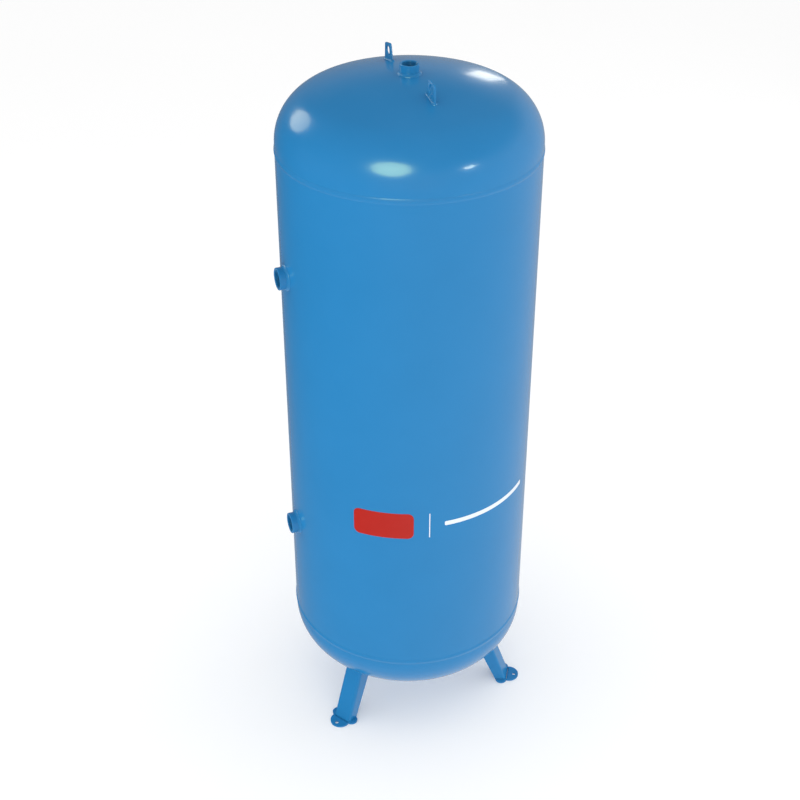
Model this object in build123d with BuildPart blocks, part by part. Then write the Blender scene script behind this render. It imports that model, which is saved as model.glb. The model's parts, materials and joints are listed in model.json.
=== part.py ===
from build123d import *
import math
import os

# Vertical compressed-air receiver: a rolled shell between two dished heads, standing on three
# splayed channel legs, with welded screw sockets, two lifting lugs and a rating plate.
# Frame: millimetres, +Z up, floor at z = 0, tank axis on the Z axis, front towards -Y.

# ---- driving dimensions -------------------------------------------------------------------
# pressure envelope
tank_radius = 400.0           # outside radius of shell and heads
plate_t = 5.0                 # thickness of shell and head plate
seam_spacing = 1700.0         # from the bottom girth seam to the top girth seam
bottom_seam_z = 380.0         # height of the bottom girth seam over the floor
head_flange = 20.0            # straight flange of each dished head
knuckle_radius = 160.0        # outside radius of the knuckle
crown_radius = 900.0          # outside radius of the crown
# butt welds
root_gap = 3.0
bead_width = 18.0
bead_height = 2.2
long_seam_angle = 122.0       # place of the longitudinal seam round the tank
# screw sockets: outside diameter, thread major and minor diameter, length, how far they stand out
top_socket_od = 58.0          # G 1 1/2
top_thread_major = 47.803
top_thread_minor = 44.845
top_socket_length = 46.0
top_socket_proud = 30.0
side_socket_od = 70.0         # G 2
side_thread_major = 59.614
side_thread_minor = 56.656
side_socket_length = 42.0
side_socket_proud = 26.5
side_socket_angle = 180.0
lower_socket_rise = 400.0     # above the bottom girth seam
upper_socket_drop = 370.0     # below the top girth seam
drain_socket_od = 42.0        # G 1
drain_thread_major = 33.249
drain_thread_minor = 30.291
drain_socket_length = 32.0
drain_socket_proud = 20.0
socket_hole_gap = 0.5         # radial gap between a socket and its hole in the plate
thread_lead_in = 0.6          # how far the bore chamfer reaches past the thread's major radius
rim_chamfer = 1.2
socket_weld_leg = 7.0
# legs
leg_angles = {"front_left": -150.0, "front_right": -30.0, "rear": 90.0}
leg_width = 70.0
leg_foot_depth = 36.0         # of the flanges, square to the web, at the fold
leg_top_depth = 62.0          # the same at the top of the uncut channel
leg_t = 6.0
leg_bend_radius = 9.0         # outside radius of the channel's two bends
leg_splay = 20.5              # degrees from the vertical
leg_fold_radius = 375.0       # where the web meets the floor, from the tank axis
foot_hole_circle = 400.0      # radius of the circle through the anchor holes
foot_hole_d = 13.0
foot_edge = 16.0              # from the anchor hole's centre to the end of the foot
side_foot_radius = 20.0
side_foot_proud = 17.0        # how far a side foot stands out from the flange
foot_fold_radius = 4.0
leg_weld_leg = 6.0
# lifting lugs
lug_t = 6.0
lug_inner_radius = 140.0      # from the tank axis to the foot of the lug's inner edge
lug_top_inner_radius = 155.0
lug_top_outer_radius = 197.0
lug_outer_radius = 199.0
lug_height = 52.0             # over the crown, along both edges
lug_corner = 8.0
lug_hole_d = 28.0
lug_hole_radius = 173.0       # from the tank axis
lug_hole_height = 30.0        # over the crown
lug_weld_leg = 4.0
# rating plate on its bracket
plate_angle = 60.0
plate_z = 1300.0
bracket_width = 150.0
bracket_height = 104.0
bracket_t = 3.0
bracket_standoff = 22.0       # from the shell to the bracket's face, at its middle
bracket_weld_leg = 3.0
nameplate_margin = 5.0
nameplate_t = 1.0
nameplate_corner = 4.0
rivet_d = 4.0
rivet_head_d = 8.0
rivet_head_h = 1.8
rivet_head_round = 1.4
rivet_columns = 2
rivet_rows = 2
rivet_inset = 8.0             # from the plate's edge to the rivet's centre
rivet_tail = 2.0              # length behind the bracket
rivet_gap = 0.05
# vinyl markings on the shell
vinyl_t = 0.4
marking_rise = 580.0          # centre of the markings above the bottom girth seam
panel_angle = -122.5
panel_width = 196.0
panel_height = 98.0
panel_corner = 20.0
rule_angle = -101.2
rule_width = 3.0
rule_height = 94.0
rule_corner = 0.75
stripe_angle = -69.0
stripe_width = 350.0
stripe_height = 16.0
stripe_corner = 4.0

# ---- derived sizes --------------------------------------------------------------------------
top_seam_z = bottom_seam_z + seam_spacing
inner_radius = tank_radius - plate_t
arc_centre_gap = math.sqrt((crown_radius - knuckle_radius) ** 2 - (tank_radius - knuckle_radius) ** 2)
dish_depth = crown_radius - arc_centre_gap
knuckle_sweep = math.degrees(math.atan2(arc_centre_gap, tank_radius - knuckle_radius))
head_height = head_flange + dish_depth
top_apex_z = top_seam_z + head_height
bottom_apex_z = bottom_seam_z - head_height
top_crown_centre_z = top_apex_z - crown_radius
lower_socket_z = bottom_seam_z + lower_socket_rise
upper_socket_z = top_seam_z - upper_socket_drop
marking_z = bottom_seam_z + marking_rise
well_past = 2.0 * tank_radius  # a length that clears the whole tank sideways
level_tolerance = 0.01         # for choosing edges by their height

top_seam_plane = Plane.XY.offset(top_seam_z)
bottom_seam_plane = Plane(origin=(0, 0, bottom_seam_z), x_dir=(1, 0, 0), z_dir=(0, 0, -1))
seam_bearing = math.radians(long_seam_angle)
long_seam_plane = Plane(  # level with the bottom girth seam, local x towards the longitudinal seam
    origin=(0, 0, bottom_seam_z), x_dir=(math.cos(seam_bearing), math.sin(seam_bearing), 0), z_dir=(0, 0, 1)
)


def polar_plane(angle, radius, z):
    """Plane at a place round the tank that faces outwards, its local y axis pointing up."""
    a = math.radians(angle)
    outward = Vector(math.cos(a), math.sin(a), 0)
    return Plane(
        origin=outward * radius + Vector(0, 0, z),
        x_dir=(-math.sin(a), math.cos(a), 0),
        z_dir=outward,
    )


def radial_plane(angle):
    """Vertical plane through the tank axis: local x runs outwards, local y runs up."""
    a = math.radians(angle)
    return Plane(origin=(0, 0, 0), x_dir=(math.cos(a), math.sin(a), 0), z_dir=(math.sin(a), -math.cos(a), 0))


def seam_section_plane(seam_plane):
    """Plane through the tank axis with its local y axis along the seam plane's normal."""
    return Plane(origin=seam_plane.origin, x_dir=(1, 0, 0), z_dir=Vector(1, 0, 0).cross(seam_plane.z_dir))


def dish_curve(inset):
    """One face of a dished head, from the flange's edge to the apex; inset moves it into the plate."""
    radius = tank_radius - inset
    flange = Line((radius, root_gap / 2), (radius, head_flange))
    knuckle = CenterArc((tank_radius - knuckle_radius, head_flange), knuckle_radius - inset, 0, knuckle_sweep)
    crown = CenterArc(
        (0, head_flange - arc_centre_gap), crown_radius - inset, knuckle_sweep, 90 - knuckle_sweep
    )
    return flange, knuckle, crown


def finish(part, name):
    """Label a finished piece and write it."""
    part.label = name
    export_step(part, f"parts/{name}.step")


os.makedirs("parts", exist_ok=True)

# ---- shell and heads ------------------------------------------------------------------------
with BuildPart() as shell:
    with BuildSketch(long_seam_plane.offset(root_gap / 2)):
        Circle(tank_radius)
        Circle(inner_radius, mode=Mode.SUBTRACT)
        Rectangle(2 * tank_radius, root_gap, align=(Align.MIN, Align.CENTER), mode=Mode.SUBTRACT)
    extrude(amount=seam_spacing - root_gap)
    for socket_z in (lower_socket_z, upper_socket_z):
        with BuildSketch(polar_plane(side_socket_angle, 0, socket_z)):
            Circle(side_socket_od / 2 + socket_hole_gap)
        extrude(amount=well_past, mode=Mode.SUBTRACT)
finish(shell.part, "shell")


def dished_head(seam_plane, socket_od):
    """A dished head that stands on its seam plane, with a central hole for its socket."""
    with BuildPart() as head:
        with BuildSketch(seam_section_plane(seam_plane)):
            with BuildLine():
                outer = dish_curve(0)
                inner = dish_curve(plate_t)
                Line(outer[0] @ 0, inner[0] @ 0)
                Line(outer[2] @ 1, inner[2] @ 1)
            make_face()
        revolve(axis=Axis.Z)
        with BuildSketch(seam_plane):
            Circle(socket_od / 2 + socket_hole_gap)
        extrude(amount=2 * head_height, mode=Mode.SUBTRACT)
    return head.part


finish(dished_head(top_seam_plane, top_socket_od), "top_head")
finish(dished_head(bottom_seam_plane, drain_socket_od), "bottom_head")


# ---- butt welds -----------------------------------------------------------------------------
def girth_seam_weld(seam_plane):
    """Ring of weld metal that fills the root gap and stands proud of the outside."""
    with BuildPart() as weld:
        with BuildSketch(seam_section_plane(seam_plane)):
            with BuildLine():
                Polyline(
                    (tank_radius, bead_width / 2),
                    (tank_radius, root_gap / 2),
                    (inner_radius, root_gap / 2),
                    (inner_radius, -root_gap / 2),
                    (tank_radius, -root_gap / 2),
                    (tank_radius, -bead_width / 2),
                )
                ThreePointArc(
                    (tank_radius, -bead_width / 2),
                    (tank_radius + bead_height, 0),
                    (tank_radius, bead_width / 2),
                )
            make_face()
        revolve(axis=Axis.Z)
    return weld.part


finish(girth_seam_weld(top_seam_plane), "top_seam_weld")
finish(girth_seam_weld(bottom_seam_plane), "bottom_seam_weld")

bead_edge_x = math.sqrt(tank_radius**2 - (bead_width / 2) ** 2)
with BuildPart() as long_seam_weld:
    with BuildSketch(long_seam_plane.offset(root_gap / 2)):
        Rectangle(2 * tank_radius, root_gap, align=(Align.MIN, Align.CENTER))
        Circle(tank_radius, mode=Mode.INTERSECT)
        Circle(inner_radius, mode=Mode.SUBTRACT)
    extrude(amount=seam_spacing - root_gap)
    with BuildSketch(long_seam_plane.offset(bead_width / 2)):
        with BuildLine():
            ThreePointArc(
                (bead_edge_x, -bead_width / 2), (tank_radius + bead_height, 0), (bead_edge_x, bead_width / 2)
            )
            Line((bead_edge_x, bead_width / 2), (bead_edge_x, -bead_width / 2))
        make_face()
        Circle(tank_radius, mode=Mode.SUBTRACT)
        with Locations((tank_radius, 0)):
            Rectangle(plate_t, root_gap, align=(Align.MAX, Align.CENTER))
    extrude(amount=seam_spacing - bead_width)
finish(long_seam_weld.part, "long_seam_weld")


# ---- screw sockets and their fillet welds -----------------------------------------------------
def screw_socket(face_plane, outside_d, major_d, minor_d, length):
    """Socket whose outer end lies on a plane that faces outwards; the bore is the thread's minor size."""
    with BuildPart(face_plane) as socket:
        Cylinder(outside_d / 2, length, align=(Align.CENTER, Align.CENTER, Align.MAX))
        Hole(minor_d / 2)
        rims = socket.edges().filter_by(GeomType.CIRCLE).group_by(lambda e: round(e.radius, 3))
        chamfer(rims[0], (major_d - minor_d) / 2 + thread_lead_in)
        chamfer(rims[-1], rim_chamfer)
    return socket.part


top_socket_plane = Plane.XY.offset(top_apex_z + top_socket_proud)
drain_socket_plane = Plane(
    origin=(0, 0, bottom_apex_z - drain_socket_proud), x_dir=(1, 0, 0), z_dir=(0, 0, -1)
)
side_socket_planes = {
    "lower": polar_plane(side_socket_angle, tank_radius + side_socket_proud, lower_socket_z),
    "upper": polar_plane(side_socket_angle, tank_radius + side_socket_proud, upper_socket_z),
}
finish(
    screw_socket(top_socket_plane, top_socket_od, top_thread_major, top_thread_minor, top_socket_length),
    "top_socket",
)
finish(
    screw_socket(
        drain_socket_plane, drain_socket_od, drain_thread_major, drain_thread_minor, drain_socket_length
    ),
    "drain_socket",
)
for place, face_plane in side_socket_planes.items():
    finish(
        screw_socket(face_plane, side_socket_od, side_thread_major, side_thread_minor, side_socket_length),
        f"{place}_side_socket",
    )


def crown_socket_weld(seam_plane, outside_d):
    """Fillet weld round a socket at the apex of a dished head."""
    with BuildPart() as weld:
        with BuildSketch(seam_section_plane(seam_plane)):
            with BuildLine():
                Polyline(
                    (outside_d / 2, head_height - plate_t),
                    (outside_d / 2, head_height + socket_weld_leg),
                    (outside_d / 2 + socket_weld_leg, head_height),
                    (outside_d / 2 + socket_weld_leg, head_height - plate_t),
                    close=True,
                )
            make_face()
        revolve(axis=Axis.Z)
        with Locations(seam_plane.offset(head_height - crown_radius)):
            Sphere(crown_radius, mode=Mode.SUBTRACT)
    return weld.part


finish(crown_socket_weld(top_seam_plane, top_socket_od), "top_socket_weld")
finish(crown_socket_weld(bottom_seam_plane, drain_socket_od), "drain_socket_weld")

for place, face_plane in side_socket_planes.items():
    with BuildPart() as side_weld:
        with Locations(face_plane.offset(socket_weld_leg - side_socket_proud)):
            Cone(
                side_socket_od / 2 + 2 * socket_weld_leg,
                side_socket_od / 2,
                2 * socket_weld_leg,
                align=(Align.CENTER, Align.CENTER, Align.MAX),
            )
            Cylinder(side_socket_od / 2, 4 * socket_weld_leg, mode=Mode.SUBTRACT)
        with Locations((0, 0, face_plane.origin.Z)):
            Cylinder(tank_radius, 4 * side_socket_od, mode=Mode.SUBTRACT)
    finish(side_weld.part, f"{place}_side_socket_weld")


# ---- legs -----------------------------------------------------------------------------------
def dish_blank(outset):
    """Solid body of the bottom head's outer shape, grown by outset, for trimming what meets it."""
    with BuildPart() as blank:
        with BuildSketch(seam_section_plane(bottom_seam_plane)):
            with BuildLine():
                curve = dish_curve(-outset)
                Polyline(curve[2] @ 1, (0, root_gap / 2), curve[0] @ 0)
            make_face()
        revolve(axis=Axis.Z)
    return blank.part


splay = math.radians(leg_splay)
leg_plane = Plane(
    origin=(leg_fold_radius, 0, 0),
    x_dir=(math.cos(splay), 0, math.sin(splay)),
    z_dir=(-math.sin(splay), 0, math.cos(splay)),
)
leg_reach = (bottom_seam_z - 2 * head_flange) / math.cos(splay)
flange_middle = leg_fold_radius - leg_foot_depth / math.cos(splay) / 2
foot_tip = foot_hole_circle + foot_edge
bottom_dish = dish_blank(0)
bottom_dish_weld_zone = dish_blank(leg_weld_leg)


def channel_outline(grow):
    """Filled outline of the leg's channel, grown outwards; the web's outer face is local x = 0."""
    with BuildSketch(mode=Mode.PRIVATE) as outline:
        with Locations((grow, 0)):
            Rectangle(leg_top_depth + grow, leg_width + 2 * grow, align=(Align.MAX, Align.CENTER))
        fillet(outline.vertices().group_by(Axis.X)[-1], leg_bend_radius + grow)
    return outline.sketch


def channel_hollow():
    """The space between the channel's flanges."""
    with BuildSketch(mode=Mode.PRIVATE) as hollow:
        with Locations((-leg_t, 0)):
            Rectangle(leg_top_depth, leg_width - 2 * leg_t, align=(Align.MAX, Align.CENTER))
        fillet(hollow.vertices().group_by(Axis.X)[-1], leg_bend_radius - leg_t)
    return hollow.sketch


flange_slope = (leg_top_depth - leg_foot_depth) / leg_reach
leg_side_plane = Plane(origin=leg_plane.origin, x_dir=leg_plane.x_dir, z_dir=(0, -1, 0))
with BuildPart() as flange_trim:
    with BuildSketch(leg_side_plane):
        with BuildLine():
            Polyline(
                (flange_slope * leg_top_depth - leg_foot_depth, -leg_top_depth),
                (-leg_top_depth, leg_reach),
                (-2 * leg_top_depth, leg_reach),
                (-2 * leg_top_depth, -leg_top_depth),
                close=True,
            )
        make_face()
    extrude(amount=leg_width, both=True)

with BuildPart() as leg_blank:
    with BuildSketch(leg_plane.offset(-leg_top_depth)):
        add(channel_outline(0))
        add(channel_hollow(), mode=Mode.SUBTRACT)
    extrude(amount=leg_top_depth + leg_reach)
    add(flange_trim.part, mode=Mode.SUBTRACT)
    split(bisect_by=Plane.XY, keep=Keep.TOP)
    add(bottom_dish, mode=Mode.SUBTRACT)
    with BuildSketch():
        with Locations((foot_tip - leg_width / 2, 0)):
            Circle(leg_width / 2)
        with Locations((leg_fold_radius - leg_t, 0)):
            Rectangle(
                foot_tip - leg_width / 2 - leg_fold_radius + leg_t, leg_width, align=(Align.MIN, Align.CENTER)
            )
            Rectangle(leg_width, leg_width, align=(Align.MAX, Align.CENTER), mode=Mode.SUBTRACT)
        for side in (-1, 1):
            with Locations((flange_middle, side * (leg_width / 2 + side_foot_proud - side_foot_radius))):
                Circle(side_foot_radius)
        with Locations((flange_middle, 0)):
            Rectangle(2 * side_foot_radius, leg_width - 2 * leg_t, mode=Mode.SUBTRACT)
        with Locations((foot_hole_circle, 0)):
            Circle(foot_hole_d / 2, mode=Mode.SUBTRACT)
    extrude(amount=leg_t)
    foot_top_edges = leg_blank.edges().filter_by_position(
        Axis.Z, leg_t - level_tolerance, leg_t + level_tolerance
    )
    fold_edge = foot_top_edges.filter_by(Axis.Y).sort_by(Axis.X)[-1]
    fillet(fold_edge, foot_fold_radius)

with BuildPart() as leg_weld_blank:
    with BuildSketch(leg_plane):
        add(channel_outline(leg_weld_leg))
        add(channel_outline(0), mode=Mode.SUBTRACT)
    extrude(amount=leg_reach)
    add(flange_trim.part, mode=Mode.SUBTRACT)
    add(bottom_dish_weld_zone, mode=Mode.INTERSECT)
    add(bottom_dish, mode=Mode.SUBTRACT)

for place, angle in leg_angles.items():
    finish(leg_blank.part.rotate(Axis.Z, angle), f"leg_{place}")
    finish(leg_weld_blank.part.rotate(Axis.Z, angle), f"leg_weld_{place}")


# ---- lifting lugs ---------------------------------------------------------------------------
def crown_z(radius):
    """Height of the top head's crown at a distance from the tank axis."""
    return top_crown_centre_z + math.sqrt(crown_radius**2 - radius**2)


for place, angle in {"front": -90.0, "rear": 90.0}.items():
    with BuildPart() as lug:
        with BuildSketch(radial_plane(angle)) as lug_outline:
            with BuildLine():
                Polyline(
                    (lug_inner_radius, crown_z(lug_outer_radius) - plate_t),
                    (lug_inner_radius, crown_z(lug_inner_radius)),
                    (lug_top_inner_radius, crown_z(lug_top_inner_radius) + lug_height),
                    (lug_top_outer_radius, crown_z(lug_top_outer_radius) + lug_height),
                    (lug_outer_radius, crown_z(lug_outer_radius) - plate_t),
                    close=True,
                )
            make_face()
            fillet(lug_outline.vertices().sort_by(Axis.Y)[-2:], lug_corner)
            with Locations((0, top_crown_centre_z)):
                Circle(crown_radius, mode=Mode.SUBTRACT)
            with Locations((lug_hole_radius, crown_z(lug_hole_radius) + lug_hole_height)):
                Circle(lug_hole_d / 2, mode=Mode.SUBTRACT)
        extrude(amount=lug_t / 2, both=True)
    finish(lug.part, f"lifting_lug_{place}")

    with BuildPart() as lug_weld:
        with BuildSketch(radial_plane(angle)):
            with Locations((0, top_crown_centre_z)):
                Circle(crown_radius + lug_weld_leg)
                Circle(crown_radius, mode=Mode.SUBTRACT)
            with Locations((lug_inner_radius - lug_weld_leg, crown_z(0))):
                Rectangle(
                    lug_outer_radius - lug_inner_radius + 2 * lug_weld_leg,
                    2 * lug_height,
                    align=(Align.MIN, Align.CENTER),
                    mode=Mode.INTERSECT,
                )
        extrude(amount=lug_t / 2 + lug_weld_leg, both=True)
        add(lug.part, mode=Mode.SUBTRACT)
        with Locations((0, 0, top_crown_centre_z)):
            Sphere(crown_radius, mode=Mode.SUBTRACT)
    finish(lug_weld.part, f"lug_weld_{place}")

# ---- rating plate ---------------------------------------------------------------------------
bracket_face = polar_plane(plate_angle, tank_radius + bracket_standoff, plate_z)
bracket_depth = bracket_standoff + tank_radius - math.sqrt(tank_radius**2 - (bracket_width / 2) ** 2) + plate_t
nameplate_width = bracket_width - 2 * nameplate_margin
nameplate_height = bracket_height - 2 * nameplate_margin
rivet_pitch_x = nameplate_width - 2 * rivet_inset
rivet_pitch_y = nameplate_height - 2 * rivet_inset

with BuildPart() as bracket:
    with Locations(bracket_face):
        Box(bracket_width, bracket_height, bracket_depth, align=(Align.CENTER, Align.CENTER, Align.MAX))
    with Locations(bracket_face.offset(-bracket_t)):
        Box(
            bracket_width - 2 * bracket_t,
            bracket_height,
            bracket_depth,
            align=(Align.CENTER, Align.CENTER, Align.MAX),
            mode=Mode.SUBTRACT,
        )
    fillet(bracket.edges().filter_by(Axis.Z).sort_by_distance(Vector(0, 0, plate_z))[-2:], bracket_t)
    with Locations((0, 0, plate_z)):
        Cylinder(tank_radius, 2 * bracket_height, mode=Mode.SUBTRACT)
    with BuildSketch(bracket_face):
        with GridLocations(rivet_pitch_x, rivet_pitch_y, rivet_columns, rivet_rows):
            Circle(rivet_d / 2)
    extrude(amount=-bracket_t, mode=Mode.SUBTRACT)
finish(bracket.part, "plate_bracket")

with BuildPart() as bracket_weld:
    with Locations(bracket_face):
        Box(
            bracket_width + 2 * bracket_weld_leg,
            bracket_height,
            2 * bracket_depth,
            align=(Align.CENTER, Align.CENTER, Align.MAX),
        )
        Box(
            bracket_width,
            bracket_height,
            2 * bracket_depth,
            align=(Align.CENTER, Align.CENTER, Align.MAX),
            mode=Mode.SUBTRACT,
        )
    with Locations((0, 0, plate_z)):
        Cylinder(tank_radius + bracket_weld_leg, 2 * bracket_height, mode=Mode.INTERSECT)
        Cylinder(tank_radius, 2 * bracket_height, mode=Mode.SUBTRACT)
finish(bracket_weld.part, "plate_bracket_weld")

with BuildPart() as nameplate:
    with BuildSketch(bracket_face):
        RectangleRounded(nameplate_width, nameplate_height, nameplate_corner)
        with GridLocations(rivet_pitch_x, rivet_pitch_y, rivet_columns, rivet_rows):
            Circle(rivet_d / 2, mode=Mode.SUBTRACT)
    extrude(amount=nameplate_t)
finish(nameplate.part, "rating_plate")

with BuildPart() as rivets:
    with BuildSketch(bracket_face.offset(-bracket_t - rivet_tail)):
        with GridLocations(rivet_pitch_x, rivet_pitch_y, rivet_columns, rivet_rows):
            Circle(rivet_d / 2 - rivet_gap)
    extrude(amount=rivet_tail + bracket_t + nameplate_t)
    with BuildSketch(bracket_face.offset(nameplate_t)):
        with GridLocations(rivet_pitch_x, rivet_pitch_y, rivet_columns, rivet_rows):
            Circle(rivet_head_d / 2)
    extrude(amount=rivet_head_h)
    rims = rivets.edges().filter_by(lambda e: e.geom_type == GeomType.CIRCLE and e.radius > rivet_d / 2)
    outer_rims = rims.group_by(lambda e: round(bracket_face.to_local_coords(e.center()).Z, 3))[-1]
    fillet(outer_rims, rivet_head_round)
finish(rivets.part, "plate_rivets")


# ---- vinyl markings -------------------------------------------------------------------------
def vinyl(angle, width, height, corner):
    """Thin film on the shell; its width is measured round the shell."""
    chord = 2 * tank_radius * math.sin(width / tank_radius / 2)
    with BuildPart() as film:
        with BuildSketch(polar_plane(angle, tank_radius / 2, marking_z)):
            RectangleRounded(chord, height, corner)
        extrude(amount=tank_radius)
        with Locations((0, 0, marking_z)):
            Cylinder(tank_radius + vinyl_t, 2 * height, mode=Mode.INTERSECT)
            Cylinder(tank_radius, 2 * height, mode=Mode.SUBTRACT)
    return film.part


finish(vinyl(panel_angle, panel_width, panel_height, panel_corner), "marking_panel")
finish(vinyl(rule_angle, rule_width, rule_height, rule_corner), "marking_rule")
finish(vinyl(stripe_angle, stripe_width, stripe_height, stripe_corner), "marking_stripe")
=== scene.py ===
"""Finish a compressed-air receiver: spun heads, rippled welds, threaded sockets, gloss paint and a studio."""

import json
import math

import bmesh
import bpy
from bpy.props import FloatProperty, FloatVectorProperty, IntProperty, PointerProperty
from mathutils import Matrix, Vector


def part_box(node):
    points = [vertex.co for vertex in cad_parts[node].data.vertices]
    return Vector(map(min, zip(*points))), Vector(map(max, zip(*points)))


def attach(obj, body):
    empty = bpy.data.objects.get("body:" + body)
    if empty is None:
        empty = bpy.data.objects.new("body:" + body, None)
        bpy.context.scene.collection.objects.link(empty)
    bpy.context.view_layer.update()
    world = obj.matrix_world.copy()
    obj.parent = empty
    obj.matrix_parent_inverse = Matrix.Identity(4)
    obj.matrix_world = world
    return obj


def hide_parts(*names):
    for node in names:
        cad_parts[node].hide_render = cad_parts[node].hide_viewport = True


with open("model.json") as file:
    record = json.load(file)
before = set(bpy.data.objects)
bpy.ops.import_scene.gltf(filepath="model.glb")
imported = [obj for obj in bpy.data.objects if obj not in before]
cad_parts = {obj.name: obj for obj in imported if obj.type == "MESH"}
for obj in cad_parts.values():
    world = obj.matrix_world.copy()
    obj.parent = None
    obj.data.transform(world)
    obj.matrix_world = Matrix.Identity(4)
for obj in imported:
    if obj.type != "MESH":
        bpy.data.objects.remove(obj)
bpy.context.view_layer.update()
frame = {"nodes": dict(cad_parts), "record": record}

bl_info = {
    "name": "Air Receiver Tank",
    "version": (1, 0, 0),
    "blender": (4, 5, 0),
    "location": "View3D > Sidebar > Receiver",
    "description": "Makes the visible pieces of a vertical air receiver around its fixed frame",
    "category": "Object",
}

BODY = "root"
LEG_BEARINGS = {"front_left": -150.0, "front_right": -30.0, "rear": 90.0}
LUG_BEARINGS = {"front": -90.0, "rear": 90.0}
MERGE_DISTANCE = 1e-6
AXIS = 0.0001                   # radius of a turned profile's points that lie on its axis
WELD_SMOOTH = 60.0              # edges of a bead sharper than this, in degrees, stay sharp
ALL_SMOOTH = 180.0              # no edge stays sharp
EDGE_STEPS, EDGE_ANGLE = 2, 35.0    # faces of a rounded edge, and the least angle that is rounded

BEAD_VECTORS = ("toe_a", "toe_b", "crown")
BEAD_NUMBERS = ("travelled", "fullness")
BEAD_STEPS = 8                  # faces across a bead
BEAD_WANDER = 0.12              # how much a bead's width varies
WANDER_SCALE = 60.0             # how often it varies
BUTT_CHEVRON = 0.8              # how far the ripples run ahead in the middle, in ripples
FILLET_CHEVRON = 0.35
FILLET_ROOT = 0.1               # depth of a fillet's root, as a share of its leg

# divisions of the made meshes
HEAD_OUTER_ROWS, HEAD_INNER_ROWS = 96, 40
SHELL_ROWS = 34
SOCKET_ROWS, SOCKET_COLUMNS = 10, 120
ROWS_PER_THREAD = 10
FILM_COLUMNS, FILM_ROWS = 164, 9
RIVET_COLUMNS, RIVET_ROWS = 32, 10
HOLE_COLUMNS = 96
CHANNEL_STEPS = 60              # along a leg's flange and across its web
CHANNEL_ARC, OUTLINE_ARC = 18, 6    # round one corner of a leg, and of a lug or the plate
BUTT_STATIONS = 5               # for one ripple of a butt weld
FILLET_STATIONS = 6             # for one ripple of a fillet weld
BRACKET_STATIONS = 2            # for each step of the other fillet welds
LUG_STEP = 0.7                  # a lug's weld has shorter steps, by this share
LUG_CORNERS = 5                 # a lug's weld turns its corners at its leg over this

# places and sizes that the frame's boxes don't give, in metres
UP = Vector((0.0, 0.0, 1.0))
CROWN_START, LUG_START = 0.21, 0.2  # above the seam, where a drop onto a head starts
DROP_STEPS, DEPTH_STEPS = 60, 8     # repeats until a drop and a leg's depth have settled
SEAM_END = 0.8                  # where the long seam stops, in half widths of the girth bead
LEAD_IN = 0.0006                # how far a socket's lead-in opens past the thread
BRACKET_WIDTH = 0.15
BRACKET_END = 0.003             # unwelded at each end of the bracket
PLATE_WIDTH, PLATE_THICKNESS = 0.140, 0.001
PLATE_CORNER, PLATE_LEAST_CORNER = 0.004, 0.0012
RIVET_HOLE, DRILL_REACH = 0.002, 0.01
RIVET_RISE, RIVET_TAIL, RIVET_AXIS = 0.0018, 0.005, 1e-5
THREAD_SMOOTH, RIVET_SMOOTH = 40.0, 50.0
# inset and level of each line of the plate: its edge, its border and the sunk line between them
PLATE_STEPS = (
    (0.0, -PLATE_THICKNESS),
    (0.0, -0.0002),
    (0.0002, 0.0),
    (0.0135, 0.0),
    (0.0138, -0.0002),
    (0.0146, -0.0002),
    (0.0149, 0.0),
)

# studio
FLOOR_REACH, VIEW_REACH = 30.0, 200.0
SENSOR_WIDTH = 36.0
LIGHT_DISTANCE = 5.0
DOME_LEVEL = 0.1                # of the reflected lights' targets, above the top seam
# name, target on the dome, bearing, rise, size, radiance, tint, shape
REFLECTED_LIGHTS = (
    ("rear_window", (-0.342, -0.04, 0.0), 118.0, 22.5, (2.3, 2.1), 3.0, (1.0, 0.98, 0.72), "ELLIPSE"),
    ("right_window", (0.225, -0.024, 0.07), 58.5, 9.0, (0.42, 0.95), 4.4, (1.0, 0.97, 0.86), "RECTANGLE"),
    ("front_window", (-0.18, -0.34, 0.0), -127.0, 27.0, (3.0, 2.5), 9.5, (0.72, 0.98, 0.42), "ELLIPSE"),
    ("front_lamp", (0.03, -0.39, 0.0), -59.0, 17.6, (0.85, 0.26), 38.0, (0.84, 1.0, 0.86), "ELLIPSE"),
)
# name, bearing, rise, radiance
DIFFUSE_LIGHTS = (
    ("key_light", -112.0, 8.0, 1.1),
    ("left_light", 172.0, 6.0, 1.1),
    ("right_light", -2.0, 8.0, 1.2),
)
DIFFUSE_LIGHT_SIZE = (5.0, 3.0)
BRIGHT_SIDE = (0.9, -0.35)      # the level direction that reflections are brightest in
SIDE_RANGE = (-0.06, 0.72)      # brightness of the dark and the bright side
BELOW_RANGE = (0.48, 0.95, 0.0, 0.45)   # from and to depth, then the brightness added there
DARK_SKY_RANGE = (0.24, 0.52, 1.0, 0.3)  # from and to height, then the share of light left there

# finishes
FILM_RIPPLE = 0.00004
FILM_ROUGHNESS = (0.2, 0.28)
GRAIN_ROUGHNESS = (0.26, 0.44)
GRAIN_SCALE = (30.0, 30.0, 2600.0)
DUST_COLOUR = (0.42, 0.44, 0.46, 1.0)
WHITE = (1.0, 1.0, 1.0, 1.0)


def middle(node):
    """Centre of a frame node's box."""
    low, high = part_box(node)
    return (low + high) / 2


TANK_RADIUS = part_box("shell")[1].x
TOP_SEAM = middle("top_seam_weld").z
BOTTOM_SEAM = middle("bottom_seam_weld").z
PLATE_BEARING = math.atan2(middle("rating_plate").y, middle("rating_plate").x)


# ---- settings ---------------------------------------------------------------------------------
def length(description, default):
    """A size in metres that a user may change."""
    return FloatProperty(description=description, default=default, min=0.0, unit="LENGTH", precision=4)


def colour(description, default):
    """A colour that a user may change, in linear light."""
    limits = {"min": 0.0, "max": 1.0}
    return FloatVectorProperty(description=description, default=default, subtype="COLOR", **limits)


def factor(description, default, top=1.0):
    """A plain number that a user may change."""
    return FloatProperty(description=description, default=default, min=0.0, max=top)


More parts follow.
